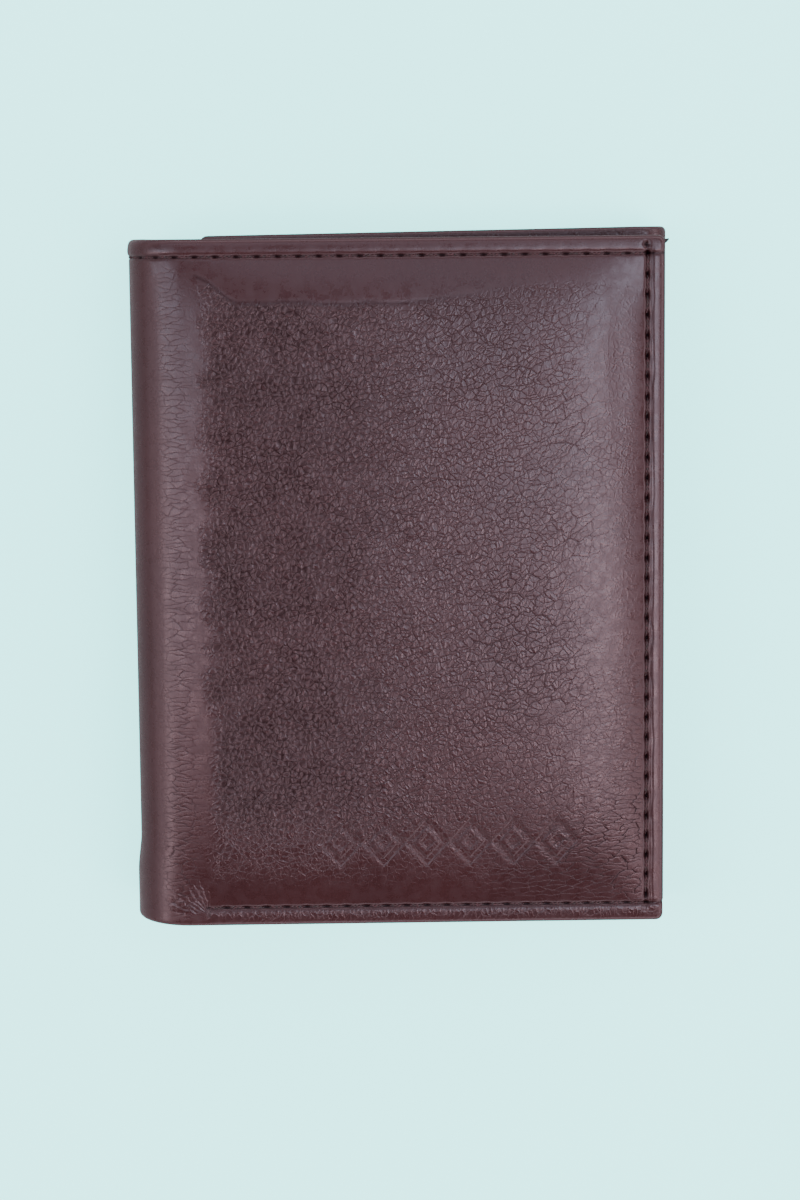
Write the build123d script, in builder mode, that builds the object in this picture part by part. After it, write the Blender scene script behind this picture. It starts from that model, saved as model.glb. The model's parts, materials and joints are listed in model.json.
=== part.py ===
"""Trifold wallet, closed, lying on its back.

Frame: +Z up through the thickness, +Y towards the wallet's top edge, where the bill
compartment opens, and +X towards the front flap's free edge. The origin is the middle of
the face it lies on. All lengths are millimetres and all angles degrees.

One strip of leather makes the whole outer shell. From the front flap's free edge it runs
left over the padded cover, down round the left spine, right across the back, up round the
right spine and left again over the inner flap. The strip bends along four lines, and every
stretch between two bends is one moving body.
"""

from build123d import *
import os
from math import cos, pi, radians, sin, tan

os.makedirs("parts", exist_ok=True)

# ---- driving dimensions ---------------------------------------------------------------

WIDTH = 90.0                 # closed, spine to spine
HEIGHT = 116.5               # closed, along Y
THICKNESS = 23.0             # closed, at the left spine
FRONT_SLOPE = 4.5            # the front flap sinks towards its free edge
FRONT_SHORT = 0.6            # the front flap stops this far below the inner flap's top edge
FREE_EDGE_INSET = 0.4        # the front flap stops this far inside the right spine

TOP_BEND_R = 9.0             # outside radius of the bend over the left spine
BACK_BEND_R = 6.0            # outside radius of the bend under the left spine
RIGHT_BEND_R = 4.5           # outside radius of both bends at the right spine
RIGHT_HEIGHT = 9.5           # the folded inner flap's outer face above the floor
INNER_TIP_X = -33.7          # free edge of the inner flap
BEND_GAP = 0.5               # angle left open on each side of a bend's parting line

LEATHER = 1.2
LINING = 0.3
FOAM = 1.0
BOARD = 0.5
BILL_GAP = 0.5               # empty bill compartment
BILL_WALL = 0.6
POCKET = 0.4
FILM = 0.25
TRIM = 0.3

CORNER_R = 1.2               # free corners of the leather
MARGIN = 3.6                 # padding, board and lining stop this far inside the leather's edge
WALL_MARGIN = 0.8            # the bill wall stops this far inside it, and is sewn on outside MARGIN

SEAM_TOP = 2.7               # seam to top edge
SEAM_SIDE = 2.9              # seam to free edge
SEAM_BOTTOM = 2.5            # seam to bottom edge
STITCH_PITCH = 3.4
STITCH_LENGTH = 2.7
THREAD = 0.7
GROOVE_WIDTH = 1.1
GROOVE_DEPTH = 0.3
THREAD_HEIGHT = 0.25

CARD_WIDTH = 54.0            # a bank card standing upright
CARD_LENGTH = 85.6
CARD_STEP = 11.0             # each card pocket starts this far below the one behind it

# ---- derived places -------------------------------------------------------------------

LEFT = -WIDTH / 2
RIGHT = WIDTH / 2
BOTTOM = -HEIGHT / 2
TOP = HEIGHT / 2
FRONT_TOP = TOP - FRONT_SHORT


def polar(centre, radius, angle):
    """The point at this radius and angle from a centre, in the XZ section."""
    return (centre[0] + radius * cos(radians(angle)), centre[1] + radius * sin(radians(angle)))


def pivot_inset(radius, turn):
    """Distance from both faces to the axis about which a bend flattens at constant length."""
    half = radians(turn) / 2
    return radius * (1 - half / tan(half))


# centres of the four bends, in the XZ section
TOP_BEND = (LEFT + TOP_BEND_R, THICKNESS - TOP_BEND_R)
BACK_LEFT_BEND = (LEFT + BACK_BEND_R, BACK_BEND_R)
BACK_RIGHT_BEND = (RIGHT - RIGHT_BEND_R, RIGHT_BEND_R)
INNER_BEND = (RIGHT - RIGHT_BEND_R, RIGHT_HEIGHT - RIGHT_BEND_R)

# parting lines, halfway round each bend
TOP_TURN = 90 + FRONT_SLOPE
TOP_PARTING = 180 - TOP_TURN / 2
BACK_LEFT_PARTING = 225
BACK_RIGHT_PARTING = -45
INNER_PARTING = 45

# hinge axes, parallel to Y
top_inset = pivot_inset(TOP_BEND_R, TOP_TURN)
top_reach = (TOP_BEND_R - top_inset) / cos(radians(TOP_TURN / 2))
TOP_HINGE = polar(TOP_BEND, top_reach, TOP_PARTING)
back_inset = pivot_inset(BACK_BEND_R, 90)
BACK_LEFT_HINGE = (LEFT + back_inset, back_inset)
right_inset = pivot_inset(RIGHT_BEND_R, 90)
BACK_RIGHT_HINGE = (RIGHT - right_inset, right_inset)
INNER_HINGE = (RIGHT - right_inset, RIGHT_HEIGHT - right_inset)

# the front flap's outer face starts where the top bend ends, and slopes down from there
front_start = polar(TOP_BEND, TOP_BEND_R, 90 - FRONT_SLOPE)
FRONT_LENGTH = (RIGHT - FREE_EDGE_INSET - front_start[0]) / cos(radians(FRONT_SLOPE))
FRONT = Plane(
    origin=(front_start[0], 0, front_start[1]),
    x_dir=(cos(radians(FRONT_SLOPE)), 0, -sin(radians(FRONT_SLOPE))),
    z_dir=(sin(radians(FRONT_SLOPE)), 0, cos(radians(FRONT_SLOPE))),
)

# flat stretch of each panel, and the height that its layers reach
BACK_X0 = LEFT + BACK_BEND_R
BACK_X1 = RIGHT - RIGHT_BEND_R
INNER_X0 = INNER_TIP_X
INNER_X1 = RIGHT - RIGHT_BEND_R

FLOOR = Plane.XY
INNER_TOP = Plane.XY.offset(RIGHT_HEIGHT)
SECTION = Plane.XZ


def span(low, high, pitch):
    """Evenly spaced places from low to high, centred, one pitch apart."""
    count = int((high - low) // pitch) + 1
    start = (low + high - (count - 1) * pitch) / 2
    return [start + pitch * index for index in range(count)]


def plate(label, plane, x_range, y_range, thickness, corner=0.0):
    """A flat layer that grows from a plane, towards its normal if thickness is positive."""
    with BuildPart() as layer:
        with BuildSketch(plane):
            with Locations(((x_range[0] + x_range[1]) / 2, (y_range[0] + y_range[1]) / 2)):
                if corner:
                    RectangleRounded(x_range[1] - x_range[0], y_range[1] - y_range[0], corner)
                else:
                    Rectangle(x_range[1] - x_range[0], y_range[1] - y_range[0])
        extrude(amount=thickness)
    layer.part.label = label
    export_step(layer.part, f"parts/{label}.step")


def bill_wall(label, leather_face, packing, x_range, y_range, rim_side, sign):
    """The bill compartment's inner wall, sewn to the leather along a rim and open at the top.

    The packing is what lies between the leather and the compartment. The rim runs along the
    bottom, and along the left or right end if rim_side says so. The sign is the direction
    away from the leather.
    """
    x_low, x_high = x_range
    y_low, y_high = y_range
    rim = MARGIN - WALL_MARGIN
    with BuildPart() as wall:
        with BuildSketch(leather_face.offset(sign * (packing + BILL_GAP))):
            with Locations(((x_low + x_high) / 2, (y_low + y_high) / 2)):
                Rectangle(x_high - x_low, y_high - y_low)
        extrude(amount=sign * BILL_WALL)
        with BuildSketch(leather_face):
            with Locations(((x_low + x_high) / 2, y_low + rim / 2)):
                Rectangle(x_high - x_low, rim)
            if rim_side == "left":
                with Locations((x_low + rim / 2, (y_low + y_high) / 2)):
                    Rectangle(rim, y_high - y_low)
            if rim_side == "right":
                with Locations((x_high - rim / 2, (y_low + y_high) / 2)):
                    Rectangle(rim, y_high - y_low)
        extrude(amount=sign * (packing + BILL_GAP))
    wall.part.label = label
    export_step(wall.part, f"parts/{label}.step")


def stitching(label, plane, rows, columns, sign):
    """Thread bars in the seam grooves: rows run along X and columns along Y.

    Each row is (low x, high x, y) and each column is (low y, high y, x).
    """
    along_x = [(x, y) for low, high, y in rows for x in span(low, high, STITCH_PITCH)]
    along_y = [(x, y) for low, high, x in columns for y in span(low, high, STITCH_PITCH)]
    with BuildPart() as thread:
        with BuildSketch(plane.offset(-sign * GROOVE_DEPTH)):
            with Locations(*along_x):
                SlotOverall(STITCH_LENGTH, THREAD)
            if along_y:
                with Locations(*along_y):
                    SlotOverall(STITCH_LENGTH, THREAD, rotation=90)
        extrude(amount=sign * THREAD_HEIGHT)
    thread.part.label = label
    export_step(thread.part, f"parts/{label}.step")


# ---- front flap -----------------------------------------------------------------------

front_seams_y = (BOTTOM + SEAM_BOTTOM, FRONT_TOP - SEAM_TOP)
front_seam_x = FRONT_LENGTH - SEAM_SIDE
FRONT_SEAM_START = 4.3       # the bottom seam starts this far along the panel

with BuildPart() as front_leather:
    with BuildSketch(SECTION.offset(-FRONT_TOP)):
        with BuildLine():
            normal = (sin(radians(FRONT_SLOPE)), cos(radians(FRONT_SLOPE)))
            free_top = (RIGHT - FREE_EDGE_INSET,
                        front_start[1] - FRONT_LENGTH * sin(radians(FRONT_SLOPE)))
            free_low = (free_top[0] - LEATHER * normal[0], free_top[1] - LEATHER * normal[1])
            part_angle = TOP_PARTING - BEND_GAP
            arc_size = part_angle - (90 - FRONT_SLOPE)
            outer = CenterArc(TOP_BEND, TOP_BEND_R, 90 - FRONT_SLOPE, arc_size)
            inner = CenterArc(TOP_BEND, TOP_BEND_R - LEATHER, 90 - FRONT_SLOPE, arc_size)
            Line(free_top, outer @ 0)
            Line(outer @ 1, inner @ 1)
            Line(inner @ 0, free_low)
            Line(free_low, free_top)
        make_face()
    extrude(amount=FRONT_TOP - BOTTOM)
    with BuildSketch(FRONT):
        with Locations((front_seam_x / 2, front_seams_y[1])):
            Rectangle(front_seam_x + GROOVE_WIDTH, GROOVE_WIDTH)
        with Locations(((FRONT_SEAM_START + front_seam_x) / 2, front_seams_y[0])):
            Rectangle(front_seam_x - FRONT_SEAM_START + GROOVE_WIDTH, GROOVE_WIDTH)
        with Locations((front_seam_x, sum(front_seams_y) / 2)):
            Rectangle(GROOVE_WIDTH, front_seams_y[1] - front_seams_y[0])
    extrude(amount=-GROOVE_DEPTH, mode=Mode.SUBTRACT)
    free_corners = front_leather.edges().filter_by(
        lambda edge: abs(edge.length - LEATHER) < 0.01 and edge.center().X > RIGHT - 1
    )
    fillet(free_corners, radius=CORNER_R)
front_leather.part.label = "front_leather"
export_step(front_leather.part, "parts/front_leather.step")

front_x = (1.0, FRONT_LENGTH - MARGIN)
front_y = (BOTTOM + MARGIN, FRONT_TOP - MARGIN)
front_wall_x = (2.5, FRONT_LENGTH - WALL_MARGIN)
front_wall_y = (BOTTOM + WALL_MARGIN, FRONT_TOP - WALL_MARGIN)
plate("front_padding", FRONT.offset(-LEATHER), front_x, front_y, -FOAM, corner=3.0)
plate("front_lining", FRONT.offset(-LEATHER - FOAM), front_x, front_y, -LINING)
bill_wall(
    "front_bill_wall",
    FRONT.offset(-LEATHER),
    FOAM + LINING,
    front_wall_x,
    front_wall_y,
    "right",
    -1,
)
depth = LEATHER + FOAM + LINING + BILL_GAP + BILL_WALL
front_pocket_x = (front_x[1] - CARD_WIDTH - 10, front_x[1] - 4)
front_pocket_y = (front_y[0] + 1, front_y[0] + CARD_LENGTH + 4)
plate("front_card_pocket", FRONT.offset(-depth), front_pocket_x, front_pocket_y, -POCKET, 1.5)
depth += POCKET
sleeve_x = (front_pocket_x[0] + 2, front_pocket_x[1] - 2)
sleeve_y = (front_pocket_y[0] + 2, front_pocket_y[1] - 14)
plate("front_id_sleeve", FRONT.offset(-depth), sleeve_x, sleeve_y, -FILM)
trim_y = (sleeve_y[1], sleeve_y[1] + 4)
plate("front_id_sleeve_trim", FRONT.offset(-depth), sleeve_x, trim_y, -TRIM)
stitching(
    "front_stitching",
    FRONT,
    [
        (1.0, front_seam_x - 1.8, front_seams_y[1]),
        (FRONT_SEAM_START + 1.5, front_seam_x - 1.8, front_seams_y[0]),
    ],
    [(front_seams_y[0], front_seams_y[1], front_seam_x)],
    1,
)

# ---- left spine -----------------------------------------------------------------------

SPINE_FLAT = (BACK_BEND_R, THICKNESS - TOP_BEND_R)
spine_seam_y = FRONT_TOP - SEAM_TOP
SPINE_SIDE = Plane(origin=(LEFT, 0, 0), x_dir=(0, 0, 1), z_dir=(-1, 0, 0))

with BuildPart() as left_spine_leather:
    with BuildSketch(SECTION.offset(-FRONT_TOP)):
        with BuildLine():
            inner_x = LEFT + LEATHER
            top_arc = 180 - TOP_PARTING - BEND_GAP
            back_arc = BACK_LEFT_PARTING - 180 - BEND_GAP
            top_outer = CenterArc(TOP_BEND, TOP_BEND_R, 180, -top_arc)
            top_inner = CenterArc(TOP_BEND, TOP_BEND_R - LEATHER, 180, -top_arc)
            back_outer = CenterArc(BACK_LEFT_BEND, BACK_BEND_R, 180, back_arc)
            back_inner = CenterArc(BACK_LEFT_BEND, BACK_BEND_R - LEATHER, 180, back_arc)
            Line(top_outer @ 1, top_inner @ 1)
            Line(top_outer @ 0, back_outer @ 0)
            Line(top_inner @ 0, back_inner @ 0)
            Line(back_outer @ 1, back_inner @ 1)
        make_face()
    extrude(amount=FRONT_TOP - BOTTOM)
    with BuildSketch(SPINE_SIDE):
        with Locations((sum(SPINE_FLAT) / 2, -spine_seam_y)):
            Rectangle(SPINE_FLAT[1] - SPINE_FLAT[0], GROOVE_WIDTH)
    extrude(amount=-GROOVE_DEPTH, mode=Mode.SUBTRACT)
left_spine_leather.part.label = "left_spine_leather"
export_step(left_spine_leather.part, "parts/left_spine_leather.step")

spine_y = (-front_y[1], -front_y[0])
depth = LEATHER
plate("left_spine_lining", SPINE_SIDE.offset(-depth), SPINE_FLAT, spine_y, -LINING)
depth += LINING
plate("left_spine_bill_wall", SPINE_SIDE.offset(-depth), SPINE_FLAT, spine_y, -BILL_WALL)
stitching(
    "left_spine_stitching",
    SPINE_SIDE,
    [(SPINE_FLAT[0] + STITCH_LENGTH / 2, SPINE_FLAT[1] - STITCH_LENGTH / 2, -spine_seam_y)],
    [],
    1,
)

# ---- centre panel ---------------------------------------------------------------------

with BuildPart() as back_leather:
    with BuildSketch(SECTION.offset(-TOP)):
        with BuildLine():
            left_arc = 270 - BACK_LEFT_PARTING - BEND_GAP
            right_arc = BACK_RIGHT_PARTING + 90 - BEND_GAP
            left_outer = CenterArc(BACK_LEFT_BEND, BACK_BEND_R, 270, -left_arc)
            left_inner = CenterArc(BACK_LEFT_BEND, BACK_BEND_R - LEATHER, 270, -left_arc)
            right_outer = CenterArc(BACK_RIGHT_BEND, RIGHT_BEND_R, -90, right_arc)
            right_inner = CenterArc(BACK_RIGHT_BEND, RIGHT_BEND_R - LEATHER, -90, right_arc)
            Line(left_outer @ 1, left_inner @ 1)
            Line(left_outer @ 0, right_outer @ 0)
            Line(left_inner @ 0, right_inner @ 0)
            Line(right_outer @ 1, right_inner @ 1)
        make_face()
    extrude(amount=HEIGHT)
    with BuildSketch(FLOOR):
        with Locations(
            ((BACK_X0 + BACK_X1) / 2, TOP - SEAM_TOP),
            ((BACK_X0 + BACK_X1) / 2, BOTTOM + SEAM_BOTTOM),
        ):
            Rectangle(BACK_X1 - BACK_X0, GROOVE_WIDTH)
    extrude(amount=GROOVE_DEPTH, mode=Mode.SUBTRACT)
back_leather.part.label = "back_leather"
export_step(back_leather.part, "parts/back_leather.step")

back_x = (BACK_X0, BACK_X1)
back_y = (BOTTOM + MARGIN, TOP - MARGIN)
back_wall_y = (BOTTOM + WALL_MARGIN, TOP - WALL_MARGIN)
plate("back_stiffener", FLOOR.offset(LEATHER), back_x, back_y, BOARD)
plate("back_lining", FLOOR.offset(LEATHER + BOARD), back_x, back_y, LINING)
bill_wall(
    "centre_bill_wall",
    FLOOR.offset(LEATHER),
    BOARD + LINING,
    back_x,
    back_wall_y,
    "none",
    1,
)
level = LEATHER + BOARD + LINING + BILL_GAP + BILL_WALL
for number in range(3):
    pocket_top = TOP - 16 - number * CARD_STEP
    plate(
        f"centre_card_pocket_{number + 1}",
        FLOOR.offset(level + number * POCKET),
        (BACK_X0 - 1.5, BACK_X1 + 1.0),
        (back_wall_y[0], pocket_top),
        POCKET,
    )
stitching(
    "back_stitching",
    FLOOR,
    [
        (BACK_X0 + 2, BACK_X1 - 2, TOP - SEAM_TOP),
        (BACK_X0 + 2, BACK_X1 - 2, BOTTOM + SEAM_BOTTOM),
    ],
    [],
    -1,
)

# ---- right spine ----------------------------------------------------------------------

RIGHT_FLAT = (RIGHT_BEND_R, RIGHT_HEIGHT - RIGHT_BEND_R)


def right_spine_strip(label, outside, thickness, y_range):
    """A strip bent round the right spine, between its two parting lines."""
    with BuildPart() as strip:
        with BuildSketch(SECTION.offset(-y_range[1])):
            with BuildLine():
                low_arc = -BACK_RIGHT_PARTING - BEND_GAP
                high_arc = INNER_PARTING - BEND_GAP
                low_outer = CenterArc(BACK_RIGHT_BEND, outside, 0, -low_arc)
                low_inner = CenterArc(BACK_RIGHT_BEND, outside - thickness, 0, -low_arc)
                high_outer = CenterArc(INNER_BEND, outside, 0, high_arc)
                high_inner = CenterArc(INNER_BEND, outside - thickness, 0, high_arc)
                Line(low_outer @ 1, low_inner @ 1)
                Line(low_outer @ 0, high_outer @ 0)
                Line(low_inner @ 0, high_inner @ 0)
                Line(high_outer @ 1, high_inner @ 1)
            make_face()
        extrude(amount=y_range[1] - y_range[0])
    strip.part.label = label
    export_step(strip.part, f"parts/{label}.step")


right_spine_strip("right_spine_leather", RIGHT_BEND_R, LEATHER, (BOTTOM, TOP))
right_spine_strip("right_spine_lining", RIGHT_BEND_R - LEATHER, LINING, back_y)

# ---- inner flap -----------------------------------------------------------------------

inner_bottom = BOTTOM + FRONT_SHORT
inner_seams_y = (inner_bottom + SEAM_BOTTOM, TOP - SEAM_TOP)
inner_seam_x = INNER_TIP_X + SEAM_SIDE

with BuildPart() as inner_flap_leather:
    with BuildSketch(SECTION.offset(-TOP)):
        with BuildLine():
            bend_arc = 90 - INNER_PARTING - BEND_GAP
            bend_outer = CenterArc(INNER_BEND, RIGHT_BEND_R, 90, -bend_arc)
            bend_inner = CenterArc(INNER_BEND, RIGHT_BEND_R - LEATHER, 90, -bend_arc)
            tip_top = (INNER_TIP_X, RIGHT_HEIGHT)
            tip_low = (INNER_TIP_X, RIGHT_HEIGHT - LEATHER)
            Line(tip_top, bend_outer @ 0)
            Line(bend_outer @ 1, bend_inner @ 1)
            Line(bend_inner @ 0, tip_low)
            Line(tip_low, tip_top)
        make_face()
    extrude(amount=TOP - inner_bottom)
    with BuildSketch(INNER_TOP):
        with Locations(
            ((inner_seam_x + INNER_X1) / 2, inner_seams_y[0]),
            ((inner_seam_x + INNER_X1) / 2, inner_seams_y[1]),
        ):
            Rectangle(INNER_X1 - inner_seam_x + GROOVE_WIDTH, GROOVE_WIDTH)
        with Locations((inner_seam_x, sum(inner_seams_y) / 2)):
            Rectangle(GROOVE_WIDTH, inner_seams_y[1] - inner_seams_y[0])
    extrude(amount=-GROOVE_DEPTH, mode=Mode.SUBTRACT)
    tip_corners = inner_flap_leather.edges().filter_by(
        lambda edge: abs(edge.length - LEATHER) < 0.01 and edge.center().X < INNER_TIP_X + 1
    )
    fillet(tip_corners, radius=CORNER_R)
inner_flap_leather.part.label = "inner_flap_leather"
export_step(inner_flap_leather.part, "parts/inner_flap_leather.step")

inner_x = (INNER_X0 + MARGIN, INNER_X1 - 1)
inner_y = (inner_bottom + MARGIN, TOP - MARGIN)
inner_wall_x = (INNER_X0 + WALL_MARGIN, inner_x[1])
inner_wall_y = (inner_bottom + WALL_MARGIN, TOP - WALL_MARGIN)
plate("inner_flap_stiffener", INNER_TOP.offset(-LEATHER), inner_x, inner_y, -BOARD)
plate("inner_flap_lining", INNER_TOP.offset(-LEATHER - BOARD), inner_x, inner_y, -LINING)
bill_wall(
    "inner_bill_wall",
    INNER_TOP.offset(-LEATHER),
    BOARD + LINING,
    inner_wall_x,
    inner_wall_y,
    "left",
    -1,
)
depth = LEATHER + BOARD + LINING + BILL_GAP + BILL_WALL
inner_middle = sum(inner_wall_x) / 2
for number in range(3):
    pocket_top = TOP - 16 - number * CARD_STEP
    plate(
        f"inner_card_pocket_{number + 1}",
        INNER_TOP.offset(-depth - number * POCKET),
        (inner_middle - CARD_WIDTH / 2 - 4, inner_middle + CARD_WIDTH / 2 + 4),
        (inner_wall_y[0], pocket_top),
        -POCKET,
    )
stitching(
    "inner_flap_stitching",
    INNER_TOP,
    [
        (inner_seam_x + 1.8, INNER_X1 - 2, inner_seams_y[1]),
        (inner_seam_x + 1.8, INNER_X1 - 2, inner_seams_y[0]),
    ],
    [(inner_seams_y[0], inner_seams_y[1], inner_seam_x)],
    1,
)

# ---- hinges ---------------------------------------------------------------------------

for name, axis in (
    ("left_spine_fold", BACK_LEFT_HINGE),
    ("front_flap_fold", TOP_HINGE),
    ("right_spine_fold", BACK_RIGHT_HINGE),
    ("inner_flap_fold", INNER_HINGE),
):
    print(f"{name}: x {axis[0]:.4f}, z {axis[1]:.4f}")
print(f"front_flap_fold opens {TOP_TURN} degrees")
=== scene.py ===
"""Looks of the closed trifold wallet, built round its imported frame, in metres.

The shell is one strip of leather, so places on it are given by two distances: "run" goes
along the strip, from the front flap's free edge over the cover, round the left spine, across
the back, round the right spine and over the inner flap to its free edge, and "side" is Y.
"Height" is measured outwards from the shell's outer face. Every layer of the wallet is laid
out in these three numbers, so that all of them follow the same bends.
"""

import json
import math

import bmesh
import bpy
import numpy as np
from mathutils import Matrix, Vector


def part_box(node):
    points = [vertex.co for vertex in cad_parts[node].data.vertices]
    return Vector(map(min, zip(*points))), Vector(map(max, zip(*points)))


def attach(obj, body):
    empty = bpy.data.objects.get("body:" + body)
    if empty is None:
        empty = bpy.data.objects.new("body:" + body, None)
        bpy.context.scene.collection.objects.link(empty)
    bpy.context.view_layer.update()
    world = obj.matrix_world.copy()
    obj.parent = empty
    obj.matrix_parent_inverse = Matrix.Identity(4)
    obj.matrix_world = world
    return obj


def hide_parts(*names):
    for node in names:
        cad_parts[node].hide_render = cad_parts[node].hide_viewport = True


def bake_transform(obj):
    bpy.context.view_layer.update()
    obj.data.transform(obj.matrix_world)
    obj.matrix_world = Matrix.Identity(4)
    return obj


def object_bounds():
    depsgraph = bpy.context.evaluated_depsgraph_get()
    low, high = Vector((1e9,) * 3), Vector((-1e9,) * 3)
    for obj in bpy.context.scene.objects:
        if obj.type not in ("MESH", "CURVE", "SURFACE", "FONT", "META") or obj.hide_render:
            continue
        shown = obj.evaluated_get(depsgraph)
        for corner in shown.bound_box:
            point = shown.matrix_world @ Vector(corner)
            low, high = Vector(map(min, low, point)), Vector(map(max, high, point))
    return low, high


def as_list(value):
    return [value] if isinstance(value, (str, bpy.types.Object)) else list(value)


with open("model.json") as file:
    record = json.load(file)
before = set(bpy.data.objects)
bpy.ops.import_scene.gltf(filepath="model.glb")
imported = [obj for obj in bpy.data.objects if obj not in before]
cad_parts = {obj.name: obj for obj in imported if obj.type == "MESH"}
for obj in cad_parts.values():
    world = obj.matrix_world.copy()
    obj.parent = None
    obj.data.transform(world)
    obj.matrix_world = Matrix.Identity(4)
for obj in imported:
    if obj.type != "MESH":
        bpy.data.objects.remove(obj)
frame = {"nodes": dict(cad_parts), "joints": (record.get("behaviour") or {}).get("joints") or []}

MM = 0.001
cad_low, cad_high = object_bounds()

# ---- the strip's path, from the frame's joints and boxes --------------------------------

joints = {joint["name"]: joint for joint in frame["joints"]}


def bend_radius(inset, turn):
    """Outside radius of a bend whose hinge lies this far inside both faces."""
    half = turn / 2
    return inset / (1 - half / math.tan(half))


top_joint = joints["front_flap_fold"]
low_joint = joints["left_spine_fold"]
right_joint = joints["right_spine_fold"]
TOP_TURN = math.radians(top_joint["range_deg"][1])
SLOPE = TOP_TURN - math.pi / 2
TOP_RADIUS = bend_radius(top_joint["pos_m"][0] - cad_low.x, TOP_TURN)
LOW_RADIUS = bend_radius(low_joint["pos_m"][0] - cad_low.x, math.pi / 2)
RIGHT_RADIUS = bend_radius(cad_high.x - right_joint["pos_m"][0], math.pi / 2)

front_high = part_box("front_leather")[1]
flap_low, flap_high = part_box("inner_flap_leather")
bend_exit_x = cad_low.x + TOP_RADIUS * (1 + math.sin(SLOPE))
bend_exit_z = cad_high.z - TOP_RADIUS * (1 - math.cos(SLOPE))
COVER_LENGTH = (front_high.x - bend_exit_x) / math.cos(SLOPE)

LEGS = (
    ("cover", COVER_LENGTH, 0),
    ("top_bend", TOP_RADIUS, TOP_TURN),
    ("left_spine", cad_high.z - TOP_RADIUS - LOW_RADIUS, 0),
    ("low_bend", LOW_RADIUS, math.pi / 2),
    ("back", cad_high.x - cad_low.x - LOW_RADIUS - RIGHT_RADIUS, 0),
    ("right_bend", RIGHT_RADIUS, math.pi / 2),
    ("right_spine", flap_high.z - 2 * RIGHT_RADIUS, 0),
    ("inner_bend", RIGHT_RADIUS, math.pi / 2),
    ("inner_flap", cad_high.x - RIGHT_RADIUS - flap_low.x, 0),
)

legs = {}
run_total = 0.0
spot = np.array([front_high.x, bend_exit_z - COVER_LENGTH * math.sin(SLOPE)])
heading = math.pi - SLOPE
for leg_name, size, turn in LEGS:
    length = size * turn if turn else size
    legs[leg_name] = (run_total, run_total + length, spot, heading, size, turn)
    if turn:
        left = np.array([-math.sin(heading), math.cos(heading)])
        new_left = np.array([-math.sin(heading + turn), math.cos(heading + turn)])
        spot = spot + size * (left - new_left)
        heading += turn
    else:
        spot = spot + size * np.array([math.cos(heading), math.sin(heading)])
    run_total += length


def start_of(leg):
    return legs[leg][0]


def end_of(leg):
    return legs[leg][1]


COVER_TOP = front_high.y
BOTTOM = cad_low.y
TOP = cad_high.y
FLAP_BOTTOM = flap_low.y
FLAP_TIP = end_of("inner_flap")

# distances of the seams from the edges, and where the cover's pad and bottom seam end
SEAM_SIDE = 2.9 * MM
SEAM_TOP = 2.95 * MM
SEAM_BOTTOM = 3.2 * MM
STITCH_PITCH = 3.4 * MM
TOP_LINE = TOP - SEAM_TOP
LOW_LINE = BOTTOM + SEAM_BOTTOM
PAD_LEFT_X = -33.3 * MM
PAD_EDGE = (front_high.x - PAD_LEFT_X) / math.cos(SLOPE)
PAD_EDGE_MM = PAD_EDGE / MM
BOTTOM_SEAM_END = PAD_EDGE


def smooth(t):
    t = np.clip(t, 0, 1)
    return t * t * (3 - 2 * t)


def top_edge(run):
    """The strip's top edge: the back's is a little low at the left, as the layers lie askew."""
    across_back = (run - start_of("back")) / (end_of("back") - start_of("back"))
    low_left = COVER_TOP - 0.1 * MM
    y = COVER_TOP + (low_left - COVER_TOP) * smooth((run - start_of("low_bend")) / (8 * MM))
    y = y + (TOP - low_left) * np.clip(across_back, 0, 1)
    lifted = 0.8 * MM * smooth((across_back - 0.4) / 0.6)
    askew = 0.95 * MM * np.clip((run - start_of("inner_flap")) / (75 * MM), 0, 1)
    return y + lifted - askew


def bottom_edge(run):
    """The inner flap is cut a little short at the bottom."""
    return BOTTOM + (FLAP_BOTTOM - BOTTOM) * smooth((run - start_of("right_bend")) / (15 * MM))


def place(run, side, height):
    """Points in the frame from places on the strip, as an array with X, Y, Z last."""
    run, side, height = np.broadcast_arrays(run, side, height)
    x = np.zeros(run.shape)
    z = np.zeros(run.shape)
    for leg_name, (low, high, origin, angle, size, turn) in legs.items():
        first = leg_name == LEGS[0][0]
        last = leg_name == LEGS[-1][0]
        inside = ((run >= low) | first) & ((run < high) | last)
        along = run[inside] - low
        if turn:
            now = angle + along / size
            left_x = -np.sin(now)
            left_z = np.cos(now)
            centre_x = origin[0] - size * math.sin(angle)
            centre_z = origin[1] + size * math.cos(angle)
            x[inside] = centre_x - (size + height[inside]) * left_x
            z[inside] = centre_z - (size + height[inside]) * left_z
        else:
            x[inside] = origin[0] + along * math.cos(angle) + height[inside] * math.sin(angle)
            z[inside] = origin[1] + along * math.sin(angle) - height[inside] * math.cos(angle)
    share = (side - BOTTOM) / (TOP - BOTTOM)
    y = bottom_edge(run) + share * (top_edge(run) - bottom_edge(run))
    return np.stack([x, y, z], axis=-1)


# ---- mesh building ----------------------------------------------------------------------

ROUND_STEPS = 5
FAR = 1.0
SHARP_ANGLE = math.radians(50)
UNDER_SHIFT = 300  # the grain of the inner face is taken this many mm along


def linked(name, data):
    """A new object in the scene for this data."""
    made = bpy.data.objects.new(name, data)
    bpy.context.scene.collection.objects.link(made)
    return made


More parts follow.
